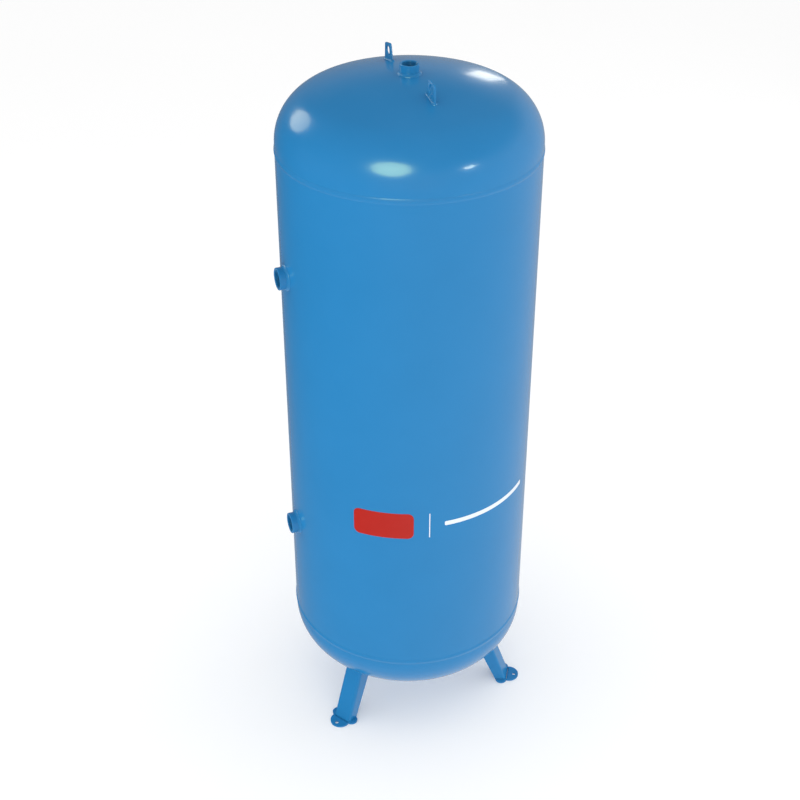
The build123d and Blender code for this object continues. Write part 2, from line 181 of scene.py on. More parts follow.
def bearing(description, default):
    """An angle round the tank, kept in radians and shown in degrees."""
    return FloatProperty(description=description, default=math.radians(default), subtype="ANGLE")


class ReceiverSizes(bpy.types.PropertyGroup):
    """Sizes of the pieces made here."""

    wall: length("Thickness of shell and heads", 0.005)
    crown_radius: length("Outside radius of a head's crown", 0.9)
    knuckle_radius: length("Outside radius of a head's knuckle", 0.16)
    flange: length("Straight flange of a head", 0.02)
    root_gap: length("Gap between plates under a butt weld", 0.003)
    bead_width: length("Width of a butt weld", 0.018)
    bead_height: length("How far a butt weld stands out", 0.0019)
    butt_ripple: length("Height of the ripples on a butt weld", 0.00022)
    butt_pitch: length("Spacing of the ripples on a butt weld", 0.0032)
    fillet_bulge: length("How far a fillet weld bulges", 0.0006)
    fillet_ripple: length("Height of the ripples on a fillet weld", 0.0005)
    fillet_pitch: length("Spacing of the ripples on a fillet weld", 0.0036)
    socket_leg: length("Leg length of the sockets' fillet welds", 0.007)
    lug_leg: length("Leg length of the lifting lugs' fillet welds", 0.004)
    leg_leg: length("Leg length of the legs' fillet welds", 0.006)
    leg_splay: bearing("Lean of the legs from the vertical", 20.5)
    leg_width: length("Width of a leg's channel", 0.070)
    leg_foot_depth: length("Depth of the channel's flanges at the fold", 0.036)
    leg_flange_taper: factor("How fast the flanges widen up the leg", 0.0716)
    leg_bend: length("Outside radius of the channel's bends", 0.009)
    leg_fold: length("From the tank's axis to the fold of a foot", 0.375)
    bracket_leg: length("Leg length of the bracket's fillet welds", 0.003)
    thread_pitch: length("Pitch of the pipe threads, eleven to the inch", 0.002309)
    thread_depth: length("Height of the pipe threads", 0.001479)
    socket_gap: length("Gap between a socket and its hole", 0.0005)
    rim_chamfer: length("Chamfer on a socket's outer rims", 0.0012)
    edge_round: length("Rounding of the cut edges of legs, lugs and bracket", 0.0009)
    panel_width: length("Width of the red film round the shell", 0.196)
    panel_corner: length("Corner radius of the red film", 0.02)
    stripe_width: length("Width of the white film round the shell", 0.35)
    stripe_corner: length("Corner radius of the white film", 0.004)
    rule_width: length("Width of the upright rule", 0.003)
    film: length("Thickness of the films", 0.0004)
    panel_bearing: bearing("Place of the red film round the tank", -122.5)
    rule_bearing: bearing("Place of the upright rule round the tank", -101.2)
    stripe_bearing: bearing("Place of the white film round the tank", -69.0)
    rivet_head: length("Radius of a rivet's head", 0.004)
    rivet_shank: length("Radius of a rivet's shank", 0.00195)
    rivet_inset: length("From the plate's edge to a rivet's centre", 0.008)
    columns: IntProperty(description="Divisions round the tank", default=256, min=32)


class ReceiverFinish(bpy.types.PropertyGroup):
    """Colours and surface texture."""

    paint: colour("Gloss light blue paint", (0.018, 0.205, 0.47))
    paint_roughness: factor("Roughness of the paint", 0.17)
    peel_height: length("Height of the paint's orange peel", 0.00003)
    peel_size: length("Width of one bump of the orange peel", 0.007)
    dust: factor("How much dust lies on faces that look up", 0.05)
    red_film: colour("Colour of the red film", (0.44, 0.010, 0.004))
    white_film: colour("Colour of the white film", (0.78, 0.84, 0.90))
    aluminium: colour("Colour of the rating plate", (0.74, 0.75, 0.77))
    plate_metallic: factor("Share of bare metal on the plate, the rest is matt oxide", 0.5)
    floor: colour("Colour of the floor", (0.86, 0.86, 0.86))
    floor_glow: factor("Light that the studio floor itself gives off", 0.16)


class ReceiverStudio(bpy.types.PropertyGroup):
    """Camera and light."""

    camera_place: FloatVectorProperty(
        description="Where the camera stands",
        default=(-1.4359, -3.7104, 3.7635),
        unit="LENGTH",
    )
    camera_heading: bearing("Turn of the view from +Y towards +X", 20.76)
    camera_pitch: bearing("How far the camera looks down", 33.03)
    lens: factor("Focal length in millimetres on a 36 mm sensor", 64.54, 500.0)
    fill: factor("Strength of the even studio light", 0.95, 10.0)
    backdrop: factor("Brightness of the background behind the floor", 0.98, 10.0)


def sizes():
    """The scene's size settings."""
    return bpy.context.scene.receiver_sizes


def finish_settings():
    """The scene's finish settings."""
    return bpy.context.scene.receiver_finish


# ---- node trees -------------------------------------------------------------------------------
def arithmetic(operation, swapped=False):
    """A method that adds one step of arithmetic to a term's tree."""

    def method(self, other):
        pair = (other, self) if swapped else (self, other)
        return self.bench.maths(operation, *pair)

    return method


class Term:
    """A node's output that Python's own operators work on."""

    __add__, __radd__ = arithmetic("ADD"), arithmetic("ADD", True)
    __sub__, __rsub__ = arithmetic("SUBTRACT"), arithmetic("SUBTRACT", True)
    __mul__, __rmul__ = arithmetic("MULTIPLY"), arithmetic("MULTIPLY", True)
    __truediv__, __rtruediv__ = arithmetic("DIVIDE"), arithmetic("DIVIDE", True)
    __gt__, __lt__ = arithmetic("GREATER_THAN"), arithmetic("LESS_THAN")

    def __init__(self, bench, socket):
        self.bench = bench
        self.socket = socket


class Bench:
    """Adds nodes to a tree. An input is linked when it is given a term and set when it is given a value."""

    def __init__(self, tree):
        self.tree = tree

    def feed(self, socket, value):
        """Link or set one input."""
        if isinstance(value, Term):
            self.tree.links.new(value.socket, socket)
        elif value is not None:
            socket.default_value = value

    def add(self, kind, *inputs, named=None, **settings):
        """Add a node with its settings, and feed its inputs in order and by name."""
        node = self.tree.nodes.new(kind)
        for name, value in settings.items():
            setattr(node, name, value)
        for socket, value in zip(node.inputs, inputs):
            self.feed(socket, value)
        for name, value in (named or {}).items():
            self.feed(node.inputs[name], value)
        return node

    def out(self, kind, *inputs, key=0, **settings):
        """Add a node and take one of its outputs."""
        return Term(self, self.add(kind, *inputs, **settings).outputs[key])

    def terms(self, node):
        """A node's outputs, by name."""
        return {socket.name: Term(self, socket) for socket in node.outputs}

    def maths(self, operation, *values, clamp=False):
        """Result of one step of arithmetic."""
        return self.out("ShaderNodeMath", *values, operation=operation, use_clamp=clamp)

    def vector(self, operation, first, second):
        """Result of one step of arithmetic on two vectors."""
        return self.out("ShaderNodeVectorMath", first, second, operation=operation)

    def scaled(self, vector, scale):
        """A vector times a number."""
        return self.out("ShaderNodeVectorMath", vector, named={"Scale": scale}, operation="SCALE")

    def split(self, vector):
        """The three parts of a vector."""
        return self.terms(self.add("ShaderNodeSeparateXYZ", vector)).values()

    def join(self, x, y, z):
        """A vector from its three parts."""
        return self.out("ShaderNodeCombineXYZ", x, y, z)

    def given(self):
        """The tree's inputs, by name."""
        return self.terms(self.tree.nodes.new("NodeGroupInput"))

    def result(self, **values):
        """Feed the tree's outputs, by name."""
        node = self.tree.nodes.new("NodeGroupOutput")
        for name, value in values.items():
            self.feed(node.inputs[name], value)


SOCKET_KINDS = {
    **dict.fromkeys(("Geometry", "Path", "Points"), "NodeSocketGeometry"),
    **dict.fromkeys(("Columns", "Outer Rows", "Inner Rows", "Stations", "Section Steps"), "NodeSocketInt"),
    "Material": "NodeSocketMaterial",
    "Rivet": "NodeSocketObject",
    "Colour": "NodeSocketColor",
}


def new_tree(name, inputs, outputs=("Geometry",)):
    """An empty tree with named inputs and outputs, plain numbers unless listed, and a bench to fill it."""
    kind = "GeometryNodeTree" if "Geometry" in outputs else "ShaderNodeTree"
    tree = bpy.data.node_groups.new(name, kind)
    for in_out, labels in (("INPUT", inputs), ("OUTPUT", outputs)):
        for label in labels:
            socket_type = SOCKET_KINDS.get(label, "NodeSocketFloat")
            tree.interface.new_socket(label, in_out=in_out, socket_type=socket_type)
    return tree, Bench(tree)


def linked(name, data):
    """A new object in the scene."""
    item = bpy.data.objects.new(name, data)
    bpy.context.scene.collection.objects.link(item)
    return item


def new_mesh(name, points, faces, edges=()):
    """A mesh from its points, faces and loose edges."""
    mesh = bpy.data.meshes.new(name)
    mesh.from_pydata(points, edges, faces)
    return mesh


def grow(name, tree, base, finish_name, **values):
    """Run a geometry tree on a base mesh and keep the result as one plain mesh."""
    piece = linked(name, base)
    modifier = piece.modifiers.new(tree.name, "NODES")
    modifier.node_group = tree
    identifiers = {item.name: item.identifier for item in tree.interface.items_tree if item.in_out == "INPUT"}
    modifier[identifiers["Material"]] = material(finish_name)
    for label, value in values.items():
        modifier[identifiers[label.replace("_", " ")]] = value
    settle(piece)
    return piece


def settle(piece):
    """Replace a piece's mesh by the result of its modifiers, and take the modifiers off."""
    depsgraph = bpy.context.evaluated_depsgraph_get()
    mesh = bpy.data.meshes.new_from_object(piece.evaluated_get(depsgraph), depsgraph=depsgraph)
    piece.modifiers.clear()
    piece.data = mesh
    mesh.name = piece.name


def close_up(mesh, smooth_angle=30.0):
    """Merge the seams, turn all faces outwards and smooth what is round."""
    shape = bmesh.new()
    shape.from_mesh(mesh)
    bmesh.ops.remove_doubles(shape, verts=shape.verts, dist=MERGE_DISTANCE)
    bmesh.ops.dissolve_degenerate(shape, edges=shape.edges, dist=MERGE_DISTANCE)
    bmesh.ops.recalc_face_normals(shape, faces=shape.faces)
    shape.to_mesh(mesh)
    shape.free()
    mesh.shade_smooth()
    mesh.set_sharp_from_angle(angle=math.radians(smooth_angle))


def deliver(piece, node):
    """Hand a finished piece over in place of its frame node."""
    if len(piece.data.polygons) == 0:
        raise RuntimeError(f"{piece.name} came out empty")
    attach(piece, BODY)
    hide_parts(node)


def grid_steps(b, columns, rows):
    """A grid to be bent into shape, with each point's column and row number."""
    grid = b.out("GeometryNodeMeshGrid", 1.0, 1.0, columns, rows)
    x, y, _ = b.split(b.out("GeometryNodeInputPosition"))
    last_column = columns - 1.0
    column = b.maths("ROUND", (x + 0.5) * last_column)
    row = b.maths("ROUND", (y + 0.5) * (rows - 1.0))
    return grid, column, row, last_column


def real_mesh(b, geometry, finish):
    """Last steps of a geometry tree: realize the instances and set the material."""
    real = b.out("GeometryNodeRealizeInstances", geometry)
    b.result(Geometry=b.out("GeometryNodeSetMaterial", real, None, finish))


def bent_grid(b, grid, position, finish):
    """Last steps of a tree that bends a grid: place the points, merge the seam and finish."""
    moved = b.out("GeometryNodeSetPosition", grid, None, position)
    real_mesh(b, b.out("GeometryNodeMergeByDistance", moved, None, MERGE_DISTANCE), finish)


def dished_head_tree():
    """Torispherical head: a straight flange, a knuckle and a crown, with a hole for a socket."""
    inputs = ("Tank Radius", "Wall", "Crown Radius", "Knuckle Radius", "Flange", "Hole Radius", "Start")
    counts = ("Columns", "Outer Rows", "Inner Rows")
    tree, b = new_tree("Dished Head", (*inputs, *counts, "Material"))
    given = b.given()
    radius, wall, crown, knuckle, flange, hole, start = (given[name] for name in inputs)
    columns, outer_rows, inner_rows = (given[name] for name in counts)
    all_rows = outer_rows + inner_rows + 1.0
    grid, column, row, last_column = grid_steps(b, columns + 1.0, all_rows)
    turn = column / last_column * math.tau

    past_outer = row - outer_rows
    inside = past_outer > -0.5
    closing = past_outer - inner_rows > -0.5
    inside = inside - closing
    outer_share = row / (outer_rows - 1.0)
    inner_share = 1.0 - past_outer / (inner_rows - 1.0)
    share = outer_share + inside * (inner_share - outer_share)
    share = share * (1.0 - closing)
    inset = inside * wall

    to_knuckle = radius - knuckle
    arcs_apart = crown - knuckle
    sweep = b.maths("ARCCOSINE", to_knuckle / arcs_apart)
    crown_inset = crown - inset
    knuckle_inset = knuckle - inset
    end = b.maths("ARCCOSINE", hole / crown_inset)
    knuckle_length = knuckle * sweep
    crown_sweep = end - sweep
    bent_length = knuckle_length + crown * crown_sweep
    along = share * (flange + bent_length)
    past_flange = along - flange
    knuckle_turn = b.maths("MAXIMUM", b.maths("MINIMUM", past_flange / knuckle, sweep), 0.0)
    past_knuckle = past_flange - knuckle_length
    crown_turn = b.maths("MAXIMUM", b.maths("MINIMUM", past_knuckle / crown, crown_sweep), 0.0)
    crown_angle = sweep + crown_turn

    def reach(function, start):
        """Distance gone along one axis: over the knuckle, then over the crown."""
        over_knuckle = knuckle_inset * b.maths(function, knuckle_turn)
        step = b.maths(function, crown_angle) - b.maths(function, sweep)
        return start + over_knuckle + crown_inset * step

    out = reach("COSINE", to_knuckle)
    up = reach("SINE", b.maths("MAXIMUM", b.maths("MINIMUM", along, flange), start))
    x = out * b.maths("COSINE", turn)
    y = out * b.maths("SINE", turn)
    bent_grid(b, grid, b.join(x, y, up), given["Material"])
    return tree


def weld_bead_tree():
    """Rippled bead of weld metal along a path whose points carry the bead's two toes and its crown."""
    counts = ("Stations", "Section Steps")
    shape = ("Bulge", "Ripple Height", "Ripple Pitch", "Chevron", "Root Depth", "Wander", "Seed")
    tree, b = new_tree("Weld Bead", ("Path", *counts, *shape, "Material"))
    given = b.given()
    points = b.out("GeometryNodeAttributeDomainSize", given["Path"], key="Point Count")
    steps = given["Section Steps"]
    section = steps + 2.0
    grid, column, row, _ = grid_steps(b, given["Stations"], steps + 3.0)
    station = b.maths("MODULO", column, points)
    place = b.maths("MODULO", row, section)
    across = b.maths("MINIMUM", place / steps, 1.0)
    at_root = place > steps + 0.5

    def at_station(value, data_type):
        """A value of the path's points, at this grid point's station."""
        inputs = {"Geometry": given["Path"], "Value": value, "Index": station}
        return b.out("GeometryNodeSampleIndex", named=inputs, data_type=data_type)

    def stored(name, data_type):
        """An attribute of the path, at this grid point's station."""
        return at_station(b.out("GeometryNodeInputNamedAttribute", name, data_type=data_type), data_type)

    where = at_station(b.out("GeometryNodeInputPosition"), "FLOAT_VECTOR")
    toe_a, toe_b, crown = (stored(name, "FLOAT_VECTOR") for name in BEAD_VECTORS)
    travelled, fullness = (stored(name, "FLOAT") for name in BEAD_NUMBERS)
    inputs = {"Vector": where, "W": given["Seed"], "Scale": WANDER_SCALE}
    wobble = b.out("ShaderNodeTexNoise", key="Fac", named=inputs, noise_dimensions="4D") - 0.5

    from_middle = across * 2.0 - 1.0
    hump = 1.0 - b.maths("POWER", b.maths("ABSOLUTE", from_middle), 2.0)
    lag = given["Chevron"] * hump
    phase = travelled / given["Ripple Pitch"] + (lag + wobble)
    wave = b.maths("ABSOLUTE", b.maths("SINE", phase * math.pi))
    ripple = given["Ripple Height"] * wave
    lift = hump * (given["Bulge"] + ripple) * (1.0 - at_root) - at_root * given["Root Depth"]

    widen = 1.0 + wobble * given["Wander"]
    toes = b.vector("ADD", toe_a, b.scaled(b.vector("SUBTRACT", toe_b, toe_a), across))
    toes = b.scaled(toes, widen * (1.0 - at_root))
    offset = b.scaled(b.vector("ADD", toes, b.scaled(crown, lift)), fullness)
    bent_grid(b, grid, b.vector("ADD", where, offset), given["Material"])
    return tree


def pipe_thread_tree():
    """Cuts a right-hand parallel pipe thread, with round crests and roots, into a bore along local Z."""
    inputs = ("Geometry", "Minor Radius", "Depth", "Pitch", "Bore Limit", "Material")
    tree, b = new_tree("Pipe Thread", inputs)
    given = b.given()
    x, y, z = b.split(b.out("GeometryNodeInputPosition"))
    radius = b.maths("SQRT", x * x + y * y)
    turns = b.maths("ARCTAN2", y, x) / math.tau
    phase = z / given["Pitch"] - turns
    wave = b.maths("COSINE", phase * math.tau)
    share = 0.5 - wave * 0.5
    cut = given["Minor Radius"] + given["Depth"] * share
    in_bore = radius < given["Bore Limit"]
    wanted = b.maths("MAXIMUM", radius, cut * in_bore)
    stretch = wanted / radius
    position = b.join(x * stretch, y * stretch, z)
    real_mesh(b, b.out("GeometryNodeSetPosition", given["Geometry"], None, position), given["Material"])
    return tree


def shell_film_tree():
    """Thin film with round corners, laid round the shell."""
    inputs = ("Tank Radius", "Bearing", "Level", "Width", "Height", "Corner", "Thickness", "Material")
    tree, b = new_tree("Shell Film", inputs)
    given = b.given()
    tank, turn, level, width, height, corner, thickness = (given[name] for name in inputs[:-1])
    columns, face_rows = FILM_COLUMNS, FILM_ROWS
    grid, column, row, last_column = grid_steps(b, columns, 2 * face_rows + 1)
    spread = b.maths("DIVIDE", column - 1.0, columns - 3.0, clamp=True)
    half_turn = (spread - 0.5) * math.pi
    sideways = b.maths("SINE", half_turn) * (width * 0.5)
    past = b.maths("MAXIMUM", b.maths("ABSOLUTE", sideways) - (width * 0.5 - corner), 0.0)
    left_over = b.maths("MAXIMUM", corner * corner - past * past, 0.0)
    half_height = height * 0.5 - corner + b.maths("SQRT", left_over)

    closing = row > 2 * face_rows - 0.5
    inner = (row > face_rows - 0.5) - closing
    outer_share = row / (face_rows - 1.0) * (1.0 - closing)
    inner_share = (2 * face_rows - 1.0 - row) / (face_rows - 1.0)
    share = outer_share + inner * (inner_share - outer_share)
    rise = half_height * (share * 2.0 - 1.0)

    at_start = column < 0.5
    at_end = column - last_column > -0.5
    lowered = b.maths("MAXIMUM", b.maths("MAXIMUM", at_start, at_end), inner)
    radius = tank + thickness * (1.0 - lowered)
    angle = turn + sideways / tank
    x = radius * b.maths("COSINE", angle)
    y = radius * b.maths("SINE", angle)
    bent_grid(b, grid, b.join(x, y, level + rise), given["Material"])
    return tree


def rivet_row_tree():
    """Stands one rivet on every point of a mesh."""
    tree, b = new_tree("Rivets", ("Points", "Rivet", "Material"))
    given = b.given()
    rivet = b.out("GeometryNodeObjectInfo", given["Rivet"], key="Geometry")
    real_mesh(b, b.out("GeometryNodeInstanceOnPoints", given["Points"], None, rivet), given["Material"])
    return tree


# ---- finishes ---------------------------------------------------------------------------------
def texture_place(b):
    """The piece's own coordinates, in metres."""
    return b.out("ShaderNodeTexCoord", key="Object")


def noise_value(b, place, scale, detail, roughness=0.5):
    """Noise between 0 and 1."""
    inputs = {"Vector": place, "Scale": scale, "Detail": detail, "Roughness": roughness}
    return b.out("ShaderNodeTexNoise", key="Fac", named=inputs)


def between(b, share, low, high):
    """A number between two others."""
    return b.out("ShaderNodeMapRange", key="Result", named={"Value": share, "To Min": low, "To Max": high})


def mix_colours(b, share, first, second):
    """Two colours mixed by a share. The inputs left out belong to the node's other kinds of mix."""
    return b.out("ShaderNodeMix", share, *[None] * 5, first, second, key=2, data_type="RGBA")


def orange_peel_group():
    """Height of sprayed paint: soft round bumps with a slower swell under them."""
    tree, b = new_tree("Orange Peel", ("Bump Size", "Height"), ("Height",))
    given = b.given()
    place = texture_place(b)
    fine = noise_value(b, place, 1.0 / given["Bump Size"], 1.0, 0.4)
    slow = noise_value(b, place, 0.17 / given["Bump Size"], 1.0, 0.4)
    height = fine * 0.6 + slow * 1.4
    b.result(Height=height * given["Height"])
    return tree


def paint_depth_group():
    """Colour of paint whose film is a little thicker here and thinner there."""
    tree, b = new_tree("Paint Depth", ("Colour", "Variation", "Patch Size"), ("Colour", "Thinness"))
    given = b.given()
    place = texture_place(b)
    patches = noise_value(b, place, 1.0 / given["Patch Size"], 3.0, 0.55)
    shade = 1.0 + (patches - 0.5) * given["Variation"]
    b.result(Colour=b.scaled(given["Colour"], shade), Thinness=patches)
    return tree


def settled_dust_group():
    """Mask of the dust that settles on faces that look up."""
    tree, b = new_tree("Settled Dust", ("Amount", "Speck Size"), ("Mask",))
    given = b.given()
    _, _, upward = b.split(b.out("ShaderNodeTexCoord", key="Normal"))
    up = b.maths("POWER", b.maths("MAXIMUM", upward, 0.0), 2.0)
    place = texture_place(b)
    specks = noise_value(b, place, 1.0 / given["Speck Size"], 4.0, 0.7)
    clumps = noise_value(b, place, 9.0, 2.0)
    lying = b.maths("POWER", specks, 2.0) * clumps
    b.result(Mask=b.maths("MULTIPLY", lying * up, given["Amount"], clamp=True))
    return tree


def shared_group(name, maker):
    """A node tree that is built once and then used again."""
    return bpy.data.node_groups.get(name) or maker()


def group_node(b, name, maker, **values):
    """Place a group in a material with its own values. Returns its outputs by name."""
    named = {label.replace("_", " "): value for label, value in values.items()}
    return b.terms(b.add("ShaderNodeGroup", node_tree=shared_group(name, maker), named=named))


def opaque(tint, share=1.0):
    """A colour with its alpha, darkened to a share of itself."""
    return (*[part * share for part in tint], 1.0)


def new_material(name):
    """An empty material with a Principled shader, and a bench to fill it."""
    made = bpy.data.materials.new(name)
    made.use_nodes = True
    made.node_tree.nodes.clear()
    b = Bench(made.node_tree)
    shader = b.add("ShaderNodeBsdfPrincipled")
    b.add("ShaderNodeOutputMaterial", Term(b, shader.outputs[0]))
    return made, b, shader.inputs


def set_shader(b, shader, height=None, **values):
    """Feed a Principled shader by name, and give it a normal that follows a height in metres."""
    for label, value in values.items():
        b.feed(shader[label.replace("_", " ")], value)
    if height is not None:
        bump = {"Strength": 1.0, "Distance": 1.0, "Height": height}
        b.feed(shader["Normal"], b.out("ShaderNodeBump", key="Normal", named=bump))


def paint_material(name, peel_share, roughness_step):
    """Gloss blue powder coat."""
    made, b, shader = new_material(name)
    finish = finish_settings()
    tint = {"Colour": opaque(finish.paint), "Variation": 0.10, "Patch_Size": 0.22}
    depth = group_node(b, "Paint Depth", paint_depth_group, **tint)
    specks = {"Amount": finish.dust, "Speck_Size": 0.0016}
    dust = group_node(b, "Settled Dust", settled_dust_group, **specks)["Mask"]
    bumps = {"Bump_Size": finish.peel_size, "Height": finish.peel_height * peel_share}
    peel = group_node(b, "Orange Peel", orange_peel_group, **bumps)["Height"]
    low = finish.paint_roughness + roughness_step
    set_shader(
        b,
        shader,
        height=peel,
        Base_Color=mix_colours(b, dust, depth["Colour"], DUST_COLOUR),
        Roughness=between(b, depth["Thinness"], low, low + 0.07) + dust,
        IOR=1.45,
        Specular_IOR_Level=0.4,
        Coat_Weight=0.18,
        Coat_Roughness=0.05,
    )
    return made


def film_material(name, setting):
    """Gloss vinyl film."""
    made, b, shader = new_material(name)
    tint = {"Colour": opaque(getattr(finish_settings(), setting)), "Variation": 0.06, "Patch_Size": 0.03}
    depth = group_node(b, "Paint Depth", paint_depth_group, **tint)
    ripple = noise_value(b, texture_place(b), 55.0, 2.0) * FILM_RIPPLE
    roughness = between(b, depth["Thinness"], *FILM_ROUGHNESS)
    set_shader(b, shader, height=ripple, Base_Color=depth["Colour"], Roughness=roughness, IOR=1.5)
    return made


def brushed_material(name, grain_height):
    """Aluminium with a fine level grain."""
    made, b, shader = new_material(name)
    tint = finish_settings().aluminium
    place = b.out("ShaderNodeMapping", named={"Vector": texture_place(b), "Scale": GRAIN_SCALE})
    grain = noise_value(b, place, 1.0, 3.0, 0.6)
    set_shader(
        b,
        shader,
        height=grain * grain_height,
        Base_Color=mix_colours(b, grain, opaque(tint, 0.82), opaque(tint)),
        Roughness=between(b, grain, *GRAIN_ROUGHNESS),
        Metallic=finish_settings().plate_metallic,
    )
    return made


def floor_material(name):
    """Plain pale floor with a faint unevenness."""
    made, b, shader = new_material(name)
    finish = finish_settings()
    clouds = noise_value(b, texture_place(b), 0.8, 2.0)
    set_shader(
        b,
        shader,
        Base_Color=mix_colours(b, clouds, opaque(finish.floor, 0.985), opaque(finish.floor)),
        Roughness=0.9,
        Specular_IOR_Level=0.1,
        Emission_Color=WHITE,
        Emission_Strength=finish.floor_glow,
    )
    return made


FINISHES = {
    "tank_paint": (paint_material, 1.0, 0.0),
    "weld_paint": (paint_material, 0.5, 0.03),
    "film_red": (film_material, "red_film"),
    "film_white": (film_material, "white_film"),
    "plate_metal": (brushed_material, 0.000012),
    "rivet_metal": (brushed_material, 0.00002),
    "floor": (floor_material,),
}


def material(name):
    """A finish of this object, made when it is first asked for."""
    maker, *values = FINISHES[name]
    own_name = f"{name}_finish"
    return bpy.data.materials.get(own_name) or maker(own_name, *values)


# ---- mesh makers ------------------------------------------------------------------------------
def lathe(name, profile, columns):
    """Closed solid turned round Z from a closed profile of (radius, height) points."""
    points = []
    for column in range(columns):
        turn = math.tau * column / columns
        points += [(r * math.cos(turn), r * math.sin(turn), z) for r, z in profile]
    rows = len(profile)
    faces = []
    for column in range(columns):
        here, there = column * rows, (column + 1) % columns * rows
        for row in range(rows):
            after = (row + 1) % rows
            faces.append((here + row, there + row, there + after, here + after))
    return new_mesh(name, points, faces)


def rod(radius, low, high, columns):
    """Closed cylinder along Z, to cut a round hole with."""
    mesh = lathe("rod", [(AXIS, low), (radius, low), (radius, high), (AXIS, high)], columns)
    close_up(mesh)
    return mesh


def cut_away(piece, cutter_mesh):
    """Take a solid out of a piece."""
    cutter = linked("cutter", cutter_mesh)
    modifier = piece.modifiers.new("cut", "BOOLEAN")
    modifier.operation = "DIFFERENCE"
    modifier.solver = "EXACT"
    modifier.object = cutter
    settle(piece)
    bpy.data.objects.remove(cutter)


def new_piece(name, mesh, finish_name):
    """A linked object with one material."""
    piece = linked(name, mesh)
    mesh.materials.clear()
    mesh.materials.append(material(finish_name))
    return piece


def softened_copy(node, name, finish_name, width):
    """A copy of a frame node with its cut edges slightly rounded and its flat faces kept flat."""
    mesh = frame["nodes"][node].data.copy()
    mesh.name = name
    if "custom_normal" in mesh.attributes:
        mesh.attributes.remove(mesh.attributes["custom_normal"])
    close_up(mesh, ALL_SMOOTH)
    piece = new_piece(name, mesh, finish_name)
    soften = piece.modifiers.new("soften", "BEVEL")
    soften.width = width
    soften.segments = EDGE_STEPS
    soften.limit_method = "ANGLE"
    soften.angle_limit = math.radians(EDGE_ANGLE)
    soften.loop_slide = False
    settle(piece)
    close_up(piece.data, ALL_SMOOTH)
    flat = piece.modifiers.new("flat", "WEIGHTED_NORMAL")
    flat.mode = "FACE_AREA"
    flat.weight = 100
    settle(piece)
    return piece


def ring_direction(turn):
    """Level unit vector at an angle round the tank."""
    return Vector((math.cos(turn), math.sin(turn), 0.0))


def around(turn):
    """Unit vectors outwards and sideways at an angle round the tank."""
    return ring_direction(turn), ring_direction(turn + math.pi / 2)


def path_mesh(name, stations):
    """Path for a weld bead: one point per station, which carries what the bead is shaped by."""
    steps = [(i, i + 1) for i in range(len(stations) - 1)]
    mesh = new_mesh(name, [station["at"] for station in stations], [], steps)
    for key in BEAD_VECTORS:
        data = mesh.attributes.new(key, "FLOAT_VECTOR", "POINT").data
        data.foreach_set("vector", [value for station in stations for value in station[key]])
    for key in BEAD_NUMBERS:
        data = mesh.attributes.new(key, "FLOAT", "POINT").data
        data.foreach_set("value", [station[key] for station in stations])
    return mesh


def bead_station(at, toe_a, toe_b, crown):
    """One station of a weld: where it is, the ways to its two toes and the way it stands out."""
    return {"at": at, "toe_a": toe_a, "toe_b": toe_b, "crown": crown, "fullness": 1.0}


def fillet_station(at, along_wall, along_plate, leg):
    """One station of a fillet weld between a standing wall and a plate."""
    toe_a = along_wall.normalized() * leg
    toe_b = along_plate.normalized() * leg
    return bead_station(at, toe_a, toe_b, (toe_a + toe_b).normalized())


def butt_rule():
    """How a butt weld's bead is shaped."""
    s = sizes()
    shape = {"Bulge": s.bead_height, "Ripple_Height": s.butt_ripple, "Ripple_Pitch": s.butt_pitch}
    return {**shape, "Chevron": BUTT_CHEVRON, "Root_Depth": s.wall}


def fillet_rule(leg):
    """How a fillet weld's bead is shaped, by its leg."""
    s = sizes()
    share = leg / s.socket_leg
    shape = {"Bulge": s.fillet_bulge, "Ripple_Height": s.fillet_ripple, "Ripple_Pitch": s.fillet_pitch}
    scaled = {label: value * share for label, value in shape.items()}
    return {**scaled, "Chevron": FILLET_CHEVRON, "Root_Depth": leg * FILLET_ROOT}


def measure_travel(stations, closed, pitch):
    """Fill in the travel along a path; a closed path gets a whole number of ripples. Returns the pitch."""
    travelled = 0.0
    for previous, station in zip([stations[0]] + stations, stations):
        travelled += (station["at"] - previous["at"]).length
        station["travelled"] = travelled
    if closed:
        travelled += (stations[0]["at"] - stations[-1]["at"]).length
        return travelled / max(round(travelled / pitch), 1)
    return pitch


def round_ends(stations, run):
    """Thin an open bead to nothing at both ends, over a short run."""
    last = stations[-1]["travelled"]
    for station in stations:
        from_end = min(station["travelled"], last - station["travelled"]) / run
        station["fullness"] = math.sqrt(max(1.0 - (1.0 - min(from_end, 1.0)) ** 2, 0.0))


def bead_piece(name, stations, closed, rule, seed, end_run):
    """Mesh object of one rippled bead along its stations, not yet handed over."""
    pitch = measure_travel(stations, closed, rule["Ripple_Pitch"])
    if not closed:
        round_ends(stations, end_run)
    piece = grow(
        name,
        shared_group("Weld Bead", weld_bead_tree),
        path_mesh(name, stations),
        "weld_paint",
        Stations=len(stations) + (1 if closed else 0),
        Section_Steps=BEAD_STEPS,
        Wander=BEAD_WANDER,
        Seed=seed,
        **{**rule, "Ripple_Pitch": pitch},
    )
    close_up(piece.data, WELD_SMOOTH)
    return piece


def weld_bead(node, stations, closed, rule, seed):
    """Make one bead in place of its frame node."""
    end_run = 2 * rule["Ripple_Pitch"]
    deliver(bead_piece(f"{node}_bead", stations, closed, rule, seed, end_run), node)


# ---- the tank's surface -----------------------------------------------------------------------
def head_arcs():
    """Radius and height over the seam of the knuckle's centre, and height of the crown's."""
    s = sizes()
    knuckle_at = TANK_RADIUS - s.knuckle_radius
    apart = math.sqrt((s.crown_radius - s.knuckle_radius) ** 2 - knuckle_at**2)
    return knuckle_at, s.flange, s.flange - apart


